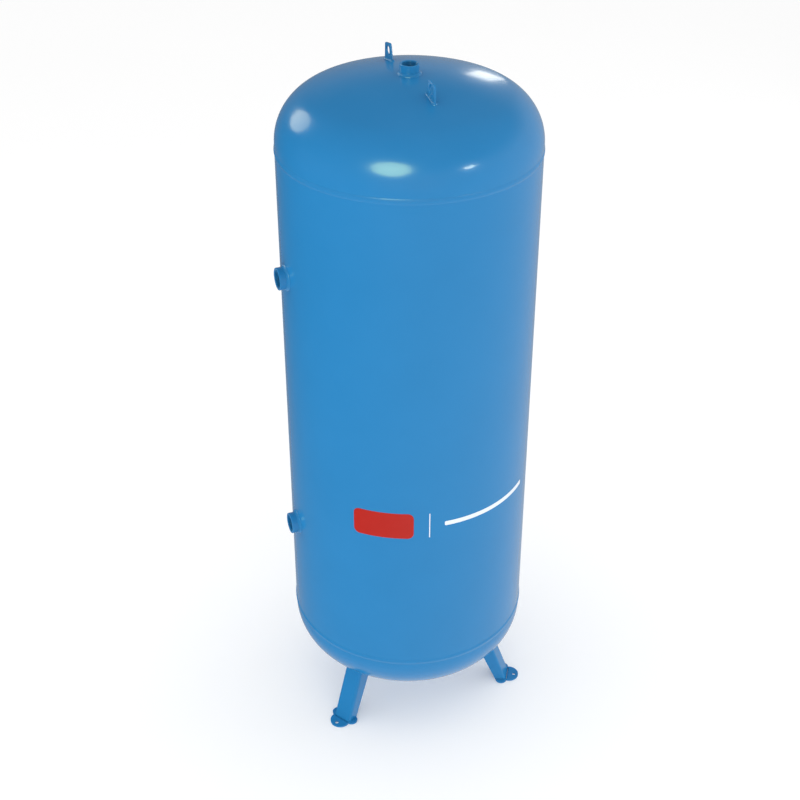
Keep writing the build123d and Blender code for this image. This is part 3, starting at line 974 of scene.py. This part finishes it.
def head_distance(out, up):
    """How far a point is outside a head's surface, and the way out; up is measured from the seam."""
    s = sizes()
    knuckle_at, knuckle_up, crown_up = head_arcs()
    crown_edge = math.atan2(knuckle_up - crown_up, knuckle_at)
    if up <= knuckle_up:
        return out - TANK_RADIUS, (1.0, 0.0)
    if math.atan2(up - crown_up, out) > crown_edge:
        reach = math.hypot(out, up - crown_up)
        return reach - s.crown_radius, (out / reach, (up - crown_up) / reach)
    reach = math.hypot(out - knuckle_at, up - knuckle_up)
    return reach - s.knuckle_radius, ((out - knuckle_at) / reach, (up - knuckle_up) / reach)


def head_normal(point, top):
    """Distance of a point from the top or bottom head's surface, and the surface's normal there."""
    out = math.hypot(point.x, point.y)
    up = point.z - TOP_SEAM if top else BOTTOM_SEAM - point.z
    distance, (out_part, up_part) = head_distance(out, up)
    level = Vector((point.x, point.y, 0.0)) / max(out, 1e-9)
    return distance, (level * out_part + Vector((0.0, 0.0, up_part if top else -up_part))).normalized()


def drop_to_head(point, direction, top):
    """Move a point along a direction until it lies on the head."""
    for _ in range(DROP_STEPS):
        distance, normal = head_normal(point, top)
        slope = normal.dot(direction)
        point = point - direction * (distance / slope)
    return point


def along_surface(direction, normal):
    """The part of a direction that runs along a surface."""
    return (direction - normal * direction.dot(normal)).normalized()


# ---- operators --------------------------------------------------------------------------------
class RECEIVER_OT_heads(bpy.types.Operator):
    """Make both dished heads by their rule"""

    bl_idname = "receiver.heads"
    bl_label = "Dished heads"

    def execute(self, context):
        s = sizes()
        tree = dished_head_tree()
        for node, socket_node, seam, flip in (
            ("top_head", "top_socket", TOP_SEAM, 1.0),
            ("bottom_head", "drain_socket", BOTTOM_SEAM, -1.0),
        ):
            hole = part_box(socket_node)[1].x + s.socket_gap
            piece = grow(
                f"{node}_dish",
                tree,
                bpy.data.meshes.new(node),
                "tank_paint",
                Tank_Radius=TANK_RADIUS,
                Wall=s.wall,
                Crown_Radius=s.crown_radius,
                Knuckle_Radius=s.knuckle_radius,
                Flange=s.flange,
                Hole_Radius=hole,
                Start=s.root_gap / 2,
                Columns=s.columns,
                Outer_Rows=HEAD_OUTER_ROWS,
                Inner_Rows=HEAD_INNER_ROWS,
            )
            piece.data.transform(Matrix.Translation((0, 0, seam)) @ Matrix.Diagonal((1.0, 1.0, flip, 1.0)))
            close_up(piece.data)
            deliver(piece, node)
        return {"FINISHED"}


class RECEIVER_OT_shell(bpy.types.Operator):
    """Roll the shell and cut the holes of its side sockets"""

    bl_idname = "receiver.shell"
    bl_label = "Shell"

    def execute(self, context):
        s = sizes()
        low, high = BOTTOM_SEAM + s.root_gap / 2, TOP_SEAM - s.root_gap / 2
        heights = [low + (high - low) * row / SHELL_ROWS for row in range(SHELL_ROWS + 1)]
        inner = TANK_RADIUS - s.wall
        profile = [(TANK_RADIUS, z) for z in heights] + [(inner, z) for z in reversed(heights)]
        piece = new_piece("shell_plate", lathe("shell_plate", profile, s.columns), "tank_paint")
        close_up(piece.data)
        for node in ("lower_side_socket", "upper_side_socket"):
            corner_low, corner_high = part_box(node)
            hole = (corner_high.y - corner_low.y) / 2 + s.socket_gap
            cutter = rod(hole, 0.0, 2 * hole, HOLE_COLUMNS)
            cutter.transform(Matrix.Translation(middle(node)) @ Matrix.Rotation(math.pi / 2, 4, "Y"))
            cutter.transform(Matrix.Translation((-hole, 0.0, 0.0)))
            cut_away(piece, cutter)
        close_up(piece.data)
        deliver(piece, "shell")
        return {"FINISHED"}


class RECEIVER_OT_seam_welds(bpy.types.Operator):
    """Lay the girth welds and the longitudinal weld"""

    bl_idname = "receiver.seam_welds"
    bl_label = "Seam welds"

    def execute(self, context):
        s = sizes()
        foot = Vector((0, 0, s.bead_width / 2))
        count = round(math.tau * TANK_RADIUS / s.butt_pitch * BUTT_STATIONS)
        for seed, node in enumerate(("top_seam_weld", "bottom_seam_weld")):
            level = Vector((0, 0, middle(node).z))
            stations = []
            for step in range(count):
                out = ring_direction(math.tau * step / count)
                stations.append(bead_station(out * TANK_RADIUS + level, foot, -foot, out))
            weld_bead(node, stations, True, butt_rule(), float(seed))
        self.long_seam(s)
        return {"FINISHED"}

    def long_seam(self, s):
        """The upright weld that closes the rolled shell."""
        place = middle("long_seam_weld")
        out, sideways = around(math.atan2(place.y, place.x))
        half = s.bead_width / 2
        sag = TANK_RADIUS - math.sqrt(TANK_RADIUS**2 - half**2)
        low, high = BOTTOM_SEAM + half * SEAM_END, TOP_SEAM - half * SEAM_END
        count = round((high - low) / s.butt_pitch * BUTT_STATIONS)
        toe_a, toe_b = sideways * half - out * sag, -sideways * half - out * sag
        stations = []
        for step in range(count):
            level = low + (high - low) * step / (count - 1)
            at = out * TANK_RADIUS + Vector((0, 0, level))
            stations.append(bead_station(at, toe_a, toe_b, out))
        weld_bead("long_seam_weld", stations, False, butt_rule(), 2.0)


class RECEIVER_OT_sockets(bpy.types.Operator):
    """Turn the screw sockets and cut their pipe threads"""

    bl_idname = "receiver.sockets"
    bl_label = "Screw sockets"

    def execute(self, context):
        tree = pipe_thread_tree()
        mounts = frame["record"]["mounts"]
        bores = {mount["name"]: mount["dims"]["r_mm"] / 1000 for mount in mounts if "r_mm" in mount["dims"]}
        faces = {
            "top_socket": ("top_port", "z", 1.0),
            "drain_socket": ("drain_port", "z", -1.0),
            "upper_side_socket": ("upper_side_port", "x", -1.0),
            "lower_side_socket": ("lower_side_port", "x", -1.0),
        }
        for node, (port, axis, side) in faces.items():
            self.socket(tree, node, bores[port], axis, side)
        return {"FINISHED"}

    def socket(self, tree, node, minor, axis, side):
        """One socket, built along Z with its mouth at zero, then turned into place."""
        s = sizes()
        low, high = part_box(node)
        long = (high - low).z if axis == "z" else (high - low).x
        outside = (high - low).y / 2
        rim = s.rim_chamfer
        major = minor + s.thread_depth
        lead_in = major + LEAD_IN
        rows = round(long / s.thread_pitch * ROWS_PER_THREAD)
        bore = []
        for row in range(rows + 1):
            depth = long * row / rows
            chamfer = lead_in - min(depth, long - depth)
            bore.append((max(minor, chamfer), -depth))
        heights = [-long + rim + (long - 2 * rim) * row / SOCKET_ROWS for row in range(SOCKET_ROWS + 1)]
        outer = [(outside, height) for height in heights]
        profile = bore + [(outside - rim, -long)] + outer + [(outside - rim, 0.0)]
        piece = grow(
            f"{node}_threaded",
            tree,
            lathe(node, profile, SOCKET_COLUMNS),
            "tank_paint",
            Minor_Radius=minor,
            Depth=s.thread_depth,
            Pitch=s.thread_pitch,
            Bore_Limit=(lead_in + outside - rim) / 2,
        )
        if axis == "z":
            turn = Matrix.Identity(4) if side > 0 else Matrix.Rotation(math.pi, 4, "X")
            mouth = Vector((0, 0, high.z if side > 0 else low.z))
        else:
            turn = Matrix.Rotation(-math.pi / 2, 4, "Y")
            mouth = Vector((low.x, 0, middle(node).z))
        piece.data.transform(Matrix.Translation(mouth) @ turn)
        close_up(piece.data, THREAD_SMOOTH)
        deliver(piece, node)


class RECEIVER_OT_fillet_welds(bpy.types.Operator):
    """Lay the fillet welds round sockets, lugs, legs and bracket"""

    bl_idname = "receiver.fillet_welds"
    bl_label = "Fillet welds"

    def execute(self, context):
        self.step = sizes().fillet_pitch / FILLET_STATIONS
        self.crown_socket("top_socket", True, 3.0)
        self.crown_socket("drain_socket", False, 4.0)
        self.side_socket("lower_side_socket", 5.0)
        self.side_socket("upper_side_socket", 6.0)
        for seed, (place, turn) in enumerate(LUG_BEARINGS.items()):
            self.lug(place, math.radians(turn), 7.0 + seed)
        for seed, (place, turn) in enumerate(LEG_BEARINGS.items()):
            self.leg(place, math.radians(turn), 9.0 + seed)
        self.bracket(12.0)
        return {"FINISHED"}

    def crown_socket(self, socket_node, top, seed):
        """Weld round a socket at the apex of a head."""
        leg = sizes().socket_leg
        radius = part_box(socket_node)[1].x
        wall_way = UP if top else -UP
        above = UP * (TOP_SEAM if top else BOTTOM_SEAM) + wall_way * CROWN_START
        count = round(math.tau * radius / self.step)
        stations = []
        for index in range(count):
            out = ring_direction(math.tau * index / count)
            at = drop_to_head(out * radius + above, wall_way, top)
            normal = head_normal(at, top)[1]
            stations.append(fillet_station(at, wall_way, along_surface(out, normal), leg))
        weld_bead(f"{socket_node}_weld", stations, True, fillet_rule(leg), seed)

    def side_socket(self, socket_node, seed):
        """Weld round a side socket, along the saddle where it meets the shell."""
        leg = sizes().socket_leg
        low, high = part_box(socket_node)
        radius = (high.y - low.y) / 2
        level = middle(socket_node).z
        wall_way = Vector((-1.0, 0.0, 0.0))
        count = round(math.tau * radius / self.step)
        stations = []
        for index in range(count):
            turn = math.tau * index / count
            y, z = radius * math.cos(turn), radius * math.sin(turn)
            at = Vector((-math.sqrt(TANK_RADIUS**2 - y**2), y, level + z))
            normal = Vector((at.x, at.y, 0.0)).normalized()
            away = along_surface(Vector((0.0, y, z)), normal)
            stations.append(fillet_station(at, wall_way, away, leg))
        weld_bead(f"{socket_node}_weld", stations, True, fillet_rule(leg), seed)

    def lug(self, place, turn, seed):
        """Weld round the foot of a lifting lug."""
        leg = sizes().lug_leg
        low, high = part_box(f"lifting_lug_{place}")
        half = (high.x - low.x) / 2
        near, far = sorted((abs(low.y), abs(high.y)))
        out, sideways = around(turn)
        stations = []
        corner, step = leg / LUG_CORNERS, self.step * LUG_STEP
        for along, across, away in rounded_outline(near, far, -half, half, corner, step):
            start = out * along + sideways * across + UP * (TOP_SEAM + LUG_START)
            at = drop_to_head(start, UP, True)
            direction = along_surface(out * away[0] + sideways * away[1], head_normal(at, True)[1])
            stations.append(fillet_station(at, UP, direction, leg))
        weld_bead(f"lug_weld_{place}", stations, True, fillet_rule(leg), seed)

    def leg(self, place, turn, seed):
        """Weld round the outside of a leg's channel where it meets the bottom head."""
        s = sizes()
        out, sideways = around(turn)
        face_way = out * math.cos(s.leg_splay) + UP * math.sin(s.leg_splay)
        up_leg = UP * math.cos(s.leg_splay) - out * math.sin(s.leg_splay)
        fold, half_way = out * s.leg_fold, up_leg * (BOTTOM_SEAM / 2)
        depth = s.leg_foot_depth
        for _ in range(DEPTH_STEPS):
            edge = drop_to_head(fold - face_way * depth + half_way, up_leg, False)
            depth = s.leg_foot_depth + s.leg_flange_taper * (edge - fold).dot(up_leg)
        stations = []
        for x, y, away in self.channel(s.leg_width, depth, s.leg_bend):
            at = drop_to_head(fold + face_way * x + sideways * y + half_way, up_leg, False)
            direction = along_surface(face_way * away[0] + sideways * away[1], head_normal(at, False)[1])
            stations.append(fillet_station(at, -up_leg, direction, s.leg_leg))
        weld_bead(f"leg_weld_{place}", stations, False, fillet_rule(s.leg_leg), seed)

    def channel(self, width, depth, bend):
        """Points along the outside of a channel, from flange to flange, each with the way outwards."""
        run = [-depth + bend + (depth - bend) * i / CHANNEL_STEPS for i in range(CHANNEL_STEPS + 1)]
        outline = []
        for side, corner_turn in ((-1, -90.0), (1, 0.0)):
            flange = [(x, side * width / 2, (0.0, side)) for x in run if x < -bend]
            arc = []
            for index in range(CHANNEL_ARC + 1):
                angle = math.radians(corner_turn + 90 * index / CHANNEL_ARC)
                way = (math.cos(angle), math.sin(angle))
                arc.append((-bend + bend * way[0], side * (width / 2 - bend) + bend * way[1], way))
            outline += flange + arc if side < 0 else arc + flange[::-1]
            if side < 0:
                flat = width - 2 * bend
                across = [-flat / 2 + flat * i / CHANNEL_STEPS for i in range(1, CHANNEL_STEPS)]
                outline += [(0.0, y, (1.0, 0.0)) for y in across]
        return outline

    def bracket(self, seed):
        """The two upright welds of the rating plate's bracket, made as one piece."""
        s = sizes()
        leg = s.bracket_leg
        low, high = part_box("plate_bracket")
        out, sideways = around(PLATE_BEARING)
        half = BRACKET_WIDTH / 2
        reach = math.sqrt(TANK_RADIUS**2 - half**2)
        first, run = low.z + BRACKET_END, high.z - low.z - 2 * BRACKET_END
        count = round((high.z - low.z) / self.step * BRACKET_STATIONS)
        beads = []
        for side in (-1, 1):
            foot = out * reach + sideways * half * side
            normal = Vector((foot.x, foot.y, 0.0)).normalized()
            away = along_surface(sideways * side, normal)
            levels = [Vector((0, 0, first + run * index / (count - 1))) for index in range(count)]
            stations = [fillet_station(foot + level, out, away, leg) for level in levels]
            name = f"bracket_bead_{side + 2}"
            beads.append(bead_piece(name, stations, False, fillet_rule(leg), seed + side, s.fillet_pitch))
        deliver(joined("plate_bracket_weld_beads", beads), "plate_bracket_weld")


def rounded_outline(left, right, bottom, top, corner, step):
    """Points round a rectangle with small round corners, each with the way outwards."""
    arcs = []
    for x, y, start in ((right, top, 0), (left, top, 90), (left, bottom, 180), (right, bottom, 270)):
        centre_x = x + (-corner if x == right else corner)
        centre_y = y + (-corner if y == top else corner)
        arc = []
        for index in range(OUTLINE_ARC + 1):
            angle = math.radians(start + 90 * index / OUTLINE_ARC)
            way = (math.cos(angle), math.sin(angle))
            arc.append((centre_x + corner * way[0], centre_y + corner * way[1], way))
        arcs.append(arc)
    result = []
    for arc, following in zip(arcs, arcs[1:] + arcs[:1]):
        result += arc
        (x0, y0, way), (x1, y1, _) = arc[-1], following[0]
        count = max(round(math.hypot(x1 - x0, y1 - y0) / step), 1)
        result += [(x0 + (x1 - x0) * i / count, y0 + (y1 - y0) * i / count, way) for i in range(1, count)]
    return result


def joined(name, pieces):
    """Several pieces made into one mesh object."""
    shape = bmesh.new()
    for piece in pieces:
        shape.from_mesh(piece.data)
    mesh = bpy.data.meshes.new(name)
    shape.to_mesh(mesh)
    shape.free()
    for piece in pieces:
        bpy.data.objects.remove(piece)
    mesh.polygons.foreach_set("material_index", [0] * len(mesh.polygons))
    close_up(mesh, WELD_SMOOTH)
    return new_piece(name, mesh, "weld_paint")


class RECEIVER_OT_steelwork(bpy.types.Operator):
    """Soften the cut edges of legs, lifting lugs and bracket"""

    bl_idname = "receiver.steelwork"
    bl_label = "Legs, lugs and bracket"

    def execute(self, context):
        width = sizes().edge_round
        legs = [f"leg_{place}" for place in LEG_BEARINGS]
        lugs = [f"lifting_lug_{place}" for place in LUG_BEARINGS]
        for node in (*legs, *lugs, "plate_bracket"):
            piece = softened_copy(node, f"{node}_steel", "tank_paint", width)
            deliver(piece, node)
        return {"FINISHED"}


class RECEIVER_OT_rating_plate(bpy.types.Operator):
    """Make the blank rating plate and its rivets"""

    bl_idname = "receiver.rating_plate"
    bl_label = "Rating plate and rivets"

    def execute(self, context):
        s = sizes()
        low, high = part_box("rating_plate")
        height = high.z - low.z
        out = ring_direction(PLATE_BEARING)
        place = middle("rating_plate") + out * (PLATE_THICKNESS / 2)
        face = Matrix.Translation(place) @ self.facing(PLATE_BEARING)
        piece = new_piece("rating_plate_blank", self.plate_mesh(PLATE_WIDTH, height), "plate_metal")
        half_x, half_y = PLATE_WIDTH / 2 - s.rivet_inset, height / 2 - s.rivet_inset
        corners = [(x, y, 0.0) for x in (-half_x, half_x) for y in (-half_y, half_y)]
        for corner in corners:
            drill = rod(RIVET_HOLE, -DRILL_REACH, DRILL_REACH, RIVET_COLUMNS)
            drill.transform(Matrix.Translation(corner))
            cut_away(piece, drill)
        piece.data.transform(face)
        close_up(piece.data)
        deliver(piece, "rating_plate")

        pattern = linked("rivet_pattern", self.rivet_mesh())
        points = new_mesh("rivet_points", corners, [])
        rivets = grow("rating_plate_rivets", rivet_row_tree(), points, "rivet_metal", Rivet=pattern)
        bpy.data.objects.remove(pattern)
        rivets.data.transform(face)
        close_up(rivets.data, RIVET_SMOOTH)
        deliver(rivets, "plate_rivets")
        return {"FINISHED"}

    def facing(self, turn):
        """Rotation that takes local Z outwards at an angle round the tank, with local Y upwards."""
        out, sideways = around(turn)
        return Matrix((sideways, UP, out)).transposed().to_4x4()

    def plate_mesh(self, width, height):
        """Plate with a rounded edge and a sunk line round its border; its face is at zero."""
        loops = []
        for inset, level in PLATE_STEPS:
            corner = max(PLATE_CORNER - inset, PLATE_LEAST_CORNER)
            half_x, half_y = width / 2 - inset, height / 2 - inset
            outline = rounded_outline(-half_x, half_x, -half_y, half_y, corner, width)
            loops.append([(x, y, level) for x, y, _ in outline])
        count = len(loops[0])
        points = [point for loop in loops for point in loop]
        faces = [tuple(reversed(range(count)))]
        for loop in range(len(loops) - 1):
            for index in range(count):
                after = (index + 1) % count
                a, b = loop * count, (loop + 1) * count
                faces.append((a + index, a + after, b + after, b + index))
        faces.append(tuple((len(loops) - 1) * count + index for index in range(count)))
        return new_mesh("rating_plate_blank", points, faces)

    def rivet_mesh(self):
        """One rivet with a domed head on the plate's face, which is at zero."""
        s = sizes()
        tail = PLATE_THICKNESS + RIVET_TAIL
        profile = [(RIVET_AXIS, -tail), (s.rivet_shank, -tail), (s.rivet_shank, 0.0), (s.rivet_head, 0.0)]
        for index in range(1, RIVET_ROWS):
            turn = math.pi / 2 * index / RIVET_ROWS
            profile.append((s.rivet_head * math.cos(turn), RIVET_RISE * math.sin(turn)))
        profile.append((RIVET_AXIS, RIVET_RISE))
        return lathe("rivet", profile, RIVET_COLUMNS)


class RECEIVER_OT_markings(bpy.types.Operator):
    """Lay the plain coloured films on the shell"""

    bl_idname = "receiver.markings"
    bl_label = "Markings"

    def execute(self, context):
        s = sizes()
        tree = shell_film_tree()
        films = (
            ("marking_panel", "film_red", s.panel_bearing, s.panel_width, s.panel_corner),
            ("marking_rule", "film_white", s.rule_bearing, s.rule_width, s.rule_width / 4),
            ("marking_stripe", "film_white", s.stripe_bearing, s.stripe_width, s.stripe_corner),
        )
        for node, finish_name, turn, width, corner in films:
            low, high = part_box(node)
            piece = grow(
                f"{node}_film",
                tree,
                bpy.data.meshes.new(node),
                finish_name,
                Tank_Radius=TANK_RADIUS,
                Bearing=turn,
                Level=(low.z + high.z) / 2,
                Width=width,
                Height=high.z - low.z,
                Corner=corner,
                Thickness=s.film,
            )
            close_up(piece.data)
            deliver(piece, node)
        return {"FINISHED"}


class RECEIVER_OT_studio(bpy.types.Operator):
    """Set out the floor, the lights and the camera"""

    bl_idname = "receiver.studio"
    bl_label = "Studio"

    def execute(self, context):
        self.floor()
        self.world()
        for name, seen_from, turn, rise, size, radiance, tint, shape in REFLECTED_LIGHTS:
            place = UP * (TOP_SEAM + DOME_LEVEL) + Vector(seen_from)
            lamp = self.softbox(name, place, turn, rise, size, radiance)
            lamp.data.color = tint
            lamp.data.shape = shape
            lamp.visible_diffuse = False
        for name, turn, rise, radiance in DIFFUSE_LIGHTS:
            lamp = self.softbox(name, middle("shell"), turn, rise, DIFFUSE_LIGHT_SIZE, radiance)
            lamp.visible_glossy = False
        self.camera(context)
        return {"FINISHED"}

    def floor(self):
        """Plain pale floor under the feet."""
        edge = FLOOR_REACH
        corners = [(-edge, -edge, 0), (edge, -edge, 0), (edge, edge, 0), (-edge, edge, 0)]
        piece = new_piece("floor", new_mesh("floor", corners, [(0, 1, 2, 3)]), "floor")
        piece.visible_glossy = False

    def world(self):
        """Even soft light, with a darker side for reflections."""
        world = bpy.data.worlds.new("studio")
        bpy.context.scene.world = world
        world.use_nodes = True
        world.node_tree.nodes.clear()
        b = Bench(world.node_tree)
        studio = bpy.context.scene.receiver_studio
        x, y, z = b.split(b.out("ShaderNodeTexCoord", key="Generated"))
        side = x * BRIGHT_SIDE[0] + y * BRIGHT_SIDE[1]
        glossy = between(b, side * 0.5 + 0.5, *SIDE_RANGE)
        glossy = glossy + b.out("ShaderNodeMapRange", z * -1.0, *BELOW_RANGE)
        glossy = b.maths("MAXIMUM", glossy * b.out("ShaderNodeMapRange", z, *DARK_SKY_RANGE), 0.0)
        rays = b.terms(b.add("ShaderNodeLightPath"))
        seen = rays["Is Camera Ray"] * (studio.backdrop - studio.fill)
        reflected = rays["Is Glossy Ray"] * (glossy - studio.fill)
        strength = seen + reflected + studio.fill
        b.add("ShaderNodeOutputWorld", b.out("ShaderNodeBackground", WHITE, strength))

    def softbox(self, name, seen_from, turn, rise, size, radiance):
        """Flat light seen from a place on the tank at a bearing and a rise, in degrees."""
        lamp = bpy.data.lights.new(name, "AREA")
        lamp.shape = "RECTANGLE"
        lamp.size, lamp.size_y = size
        lamp.energy = radiance * math.pi * size[0] * size[1]
        box = linked(name, lamp)
        level, height = math.cos(math.radians(rise)), math.sin(math.radians(rise))
        way = ring_direction(math.radians(turn)) * level + UP * height
        box.location = seen_from + way * LIGHT_DISTANCE
        box.rotation_euler = way.to_track_quat("Z", "Y").to_euler()
        return box

    def camera(self, context):
        """Camera at the wanted view."""
        studio = context.scene.receiver_studio
        lens = bpy.data.cameras.new("camera")
        lens.lens = studio.lens
        lens.sensor_width = SENSOR_WIDTH
        lens.clip_end = VIEW_REACH
        camera = linked("camera", lens)
        camera.location = studio.camera_place
        camera.rotation_euler = (math.pi / 2 - studio.camera_pitch, 0.0, -studio.camera_heading)
        context.scene.camera = camera
        context.scene.view_settings.view_transform = "Standard"


class RECEIVER_PT_panel(bpy.types.Panel):
    """Sidebar panel with every step and its settings"""

    bl_label = "Air Receiver"
    bl_idname = "RECEIVER_PT_panel"
    bl_space_type = "VIEW_3D"
    bl_region_type = "UI"
    bl_category = "Receiver"

    def draw(self, context):
        for group in (getattr(context.scene, name) for name in SETTINGS):
            box = self.layout.box()
            for name in group.bl_rna.properties.keys():
                if name not in {"name", "rna_type"}:
                    box.prop(group, name, text=name.replace("_", " ").capitalize())
        for step in STEPS:
            self.layout.operator(step.bl_idname)


STEPS = (
    RECEIVER_OT_shell,
    RECEIVER_OT_heads,
    RECEIVER_OT_seam_welds,
    RECEIVER_OT_sockets,
    RECEIVER_OT_fillet_welds,
    RECEIVER_OT_steelwork,
    RECEIVER_OT_rating_plate,
    RECEIVER_OT_markings,
    RECEIVER_OT_studio,
)
SETTINGS = {
    "receiver_sizes": ReceiverSizes,
    "receiver_finish": ReceiverFinish,
    "receiver_studio": ReceiverStudio,
}


def register():
    """Register the classes and hang the settings on the scene."""
    for cls in (*SETTINGS.values(), *STEPS, RECEIVER_PT_panel):
        bpy.utils.register_class(cls)
    for name, cls in SETTINGS.items():
        setattr(bpy.types.Scene, name, PointerProperty(type=cls))


def unregister():
    """Take the settings and the classes away again."""
    for name in SETTINGS:
        delattr(bpy.types.Scene, name)
    for cls in reversed((*SETTINGS.values(), *STEPS, RECEIVER_PT_panel)):
        bpy.utils.unregister_class(cls)


def main():
    """Make every piece."""
    register()
    for step in STEPS:
        area, action = step.bl_idname.split(".")
        getattr(getattr(bpy.ops, area), action)()


if __name__ == "__main__":
    main()
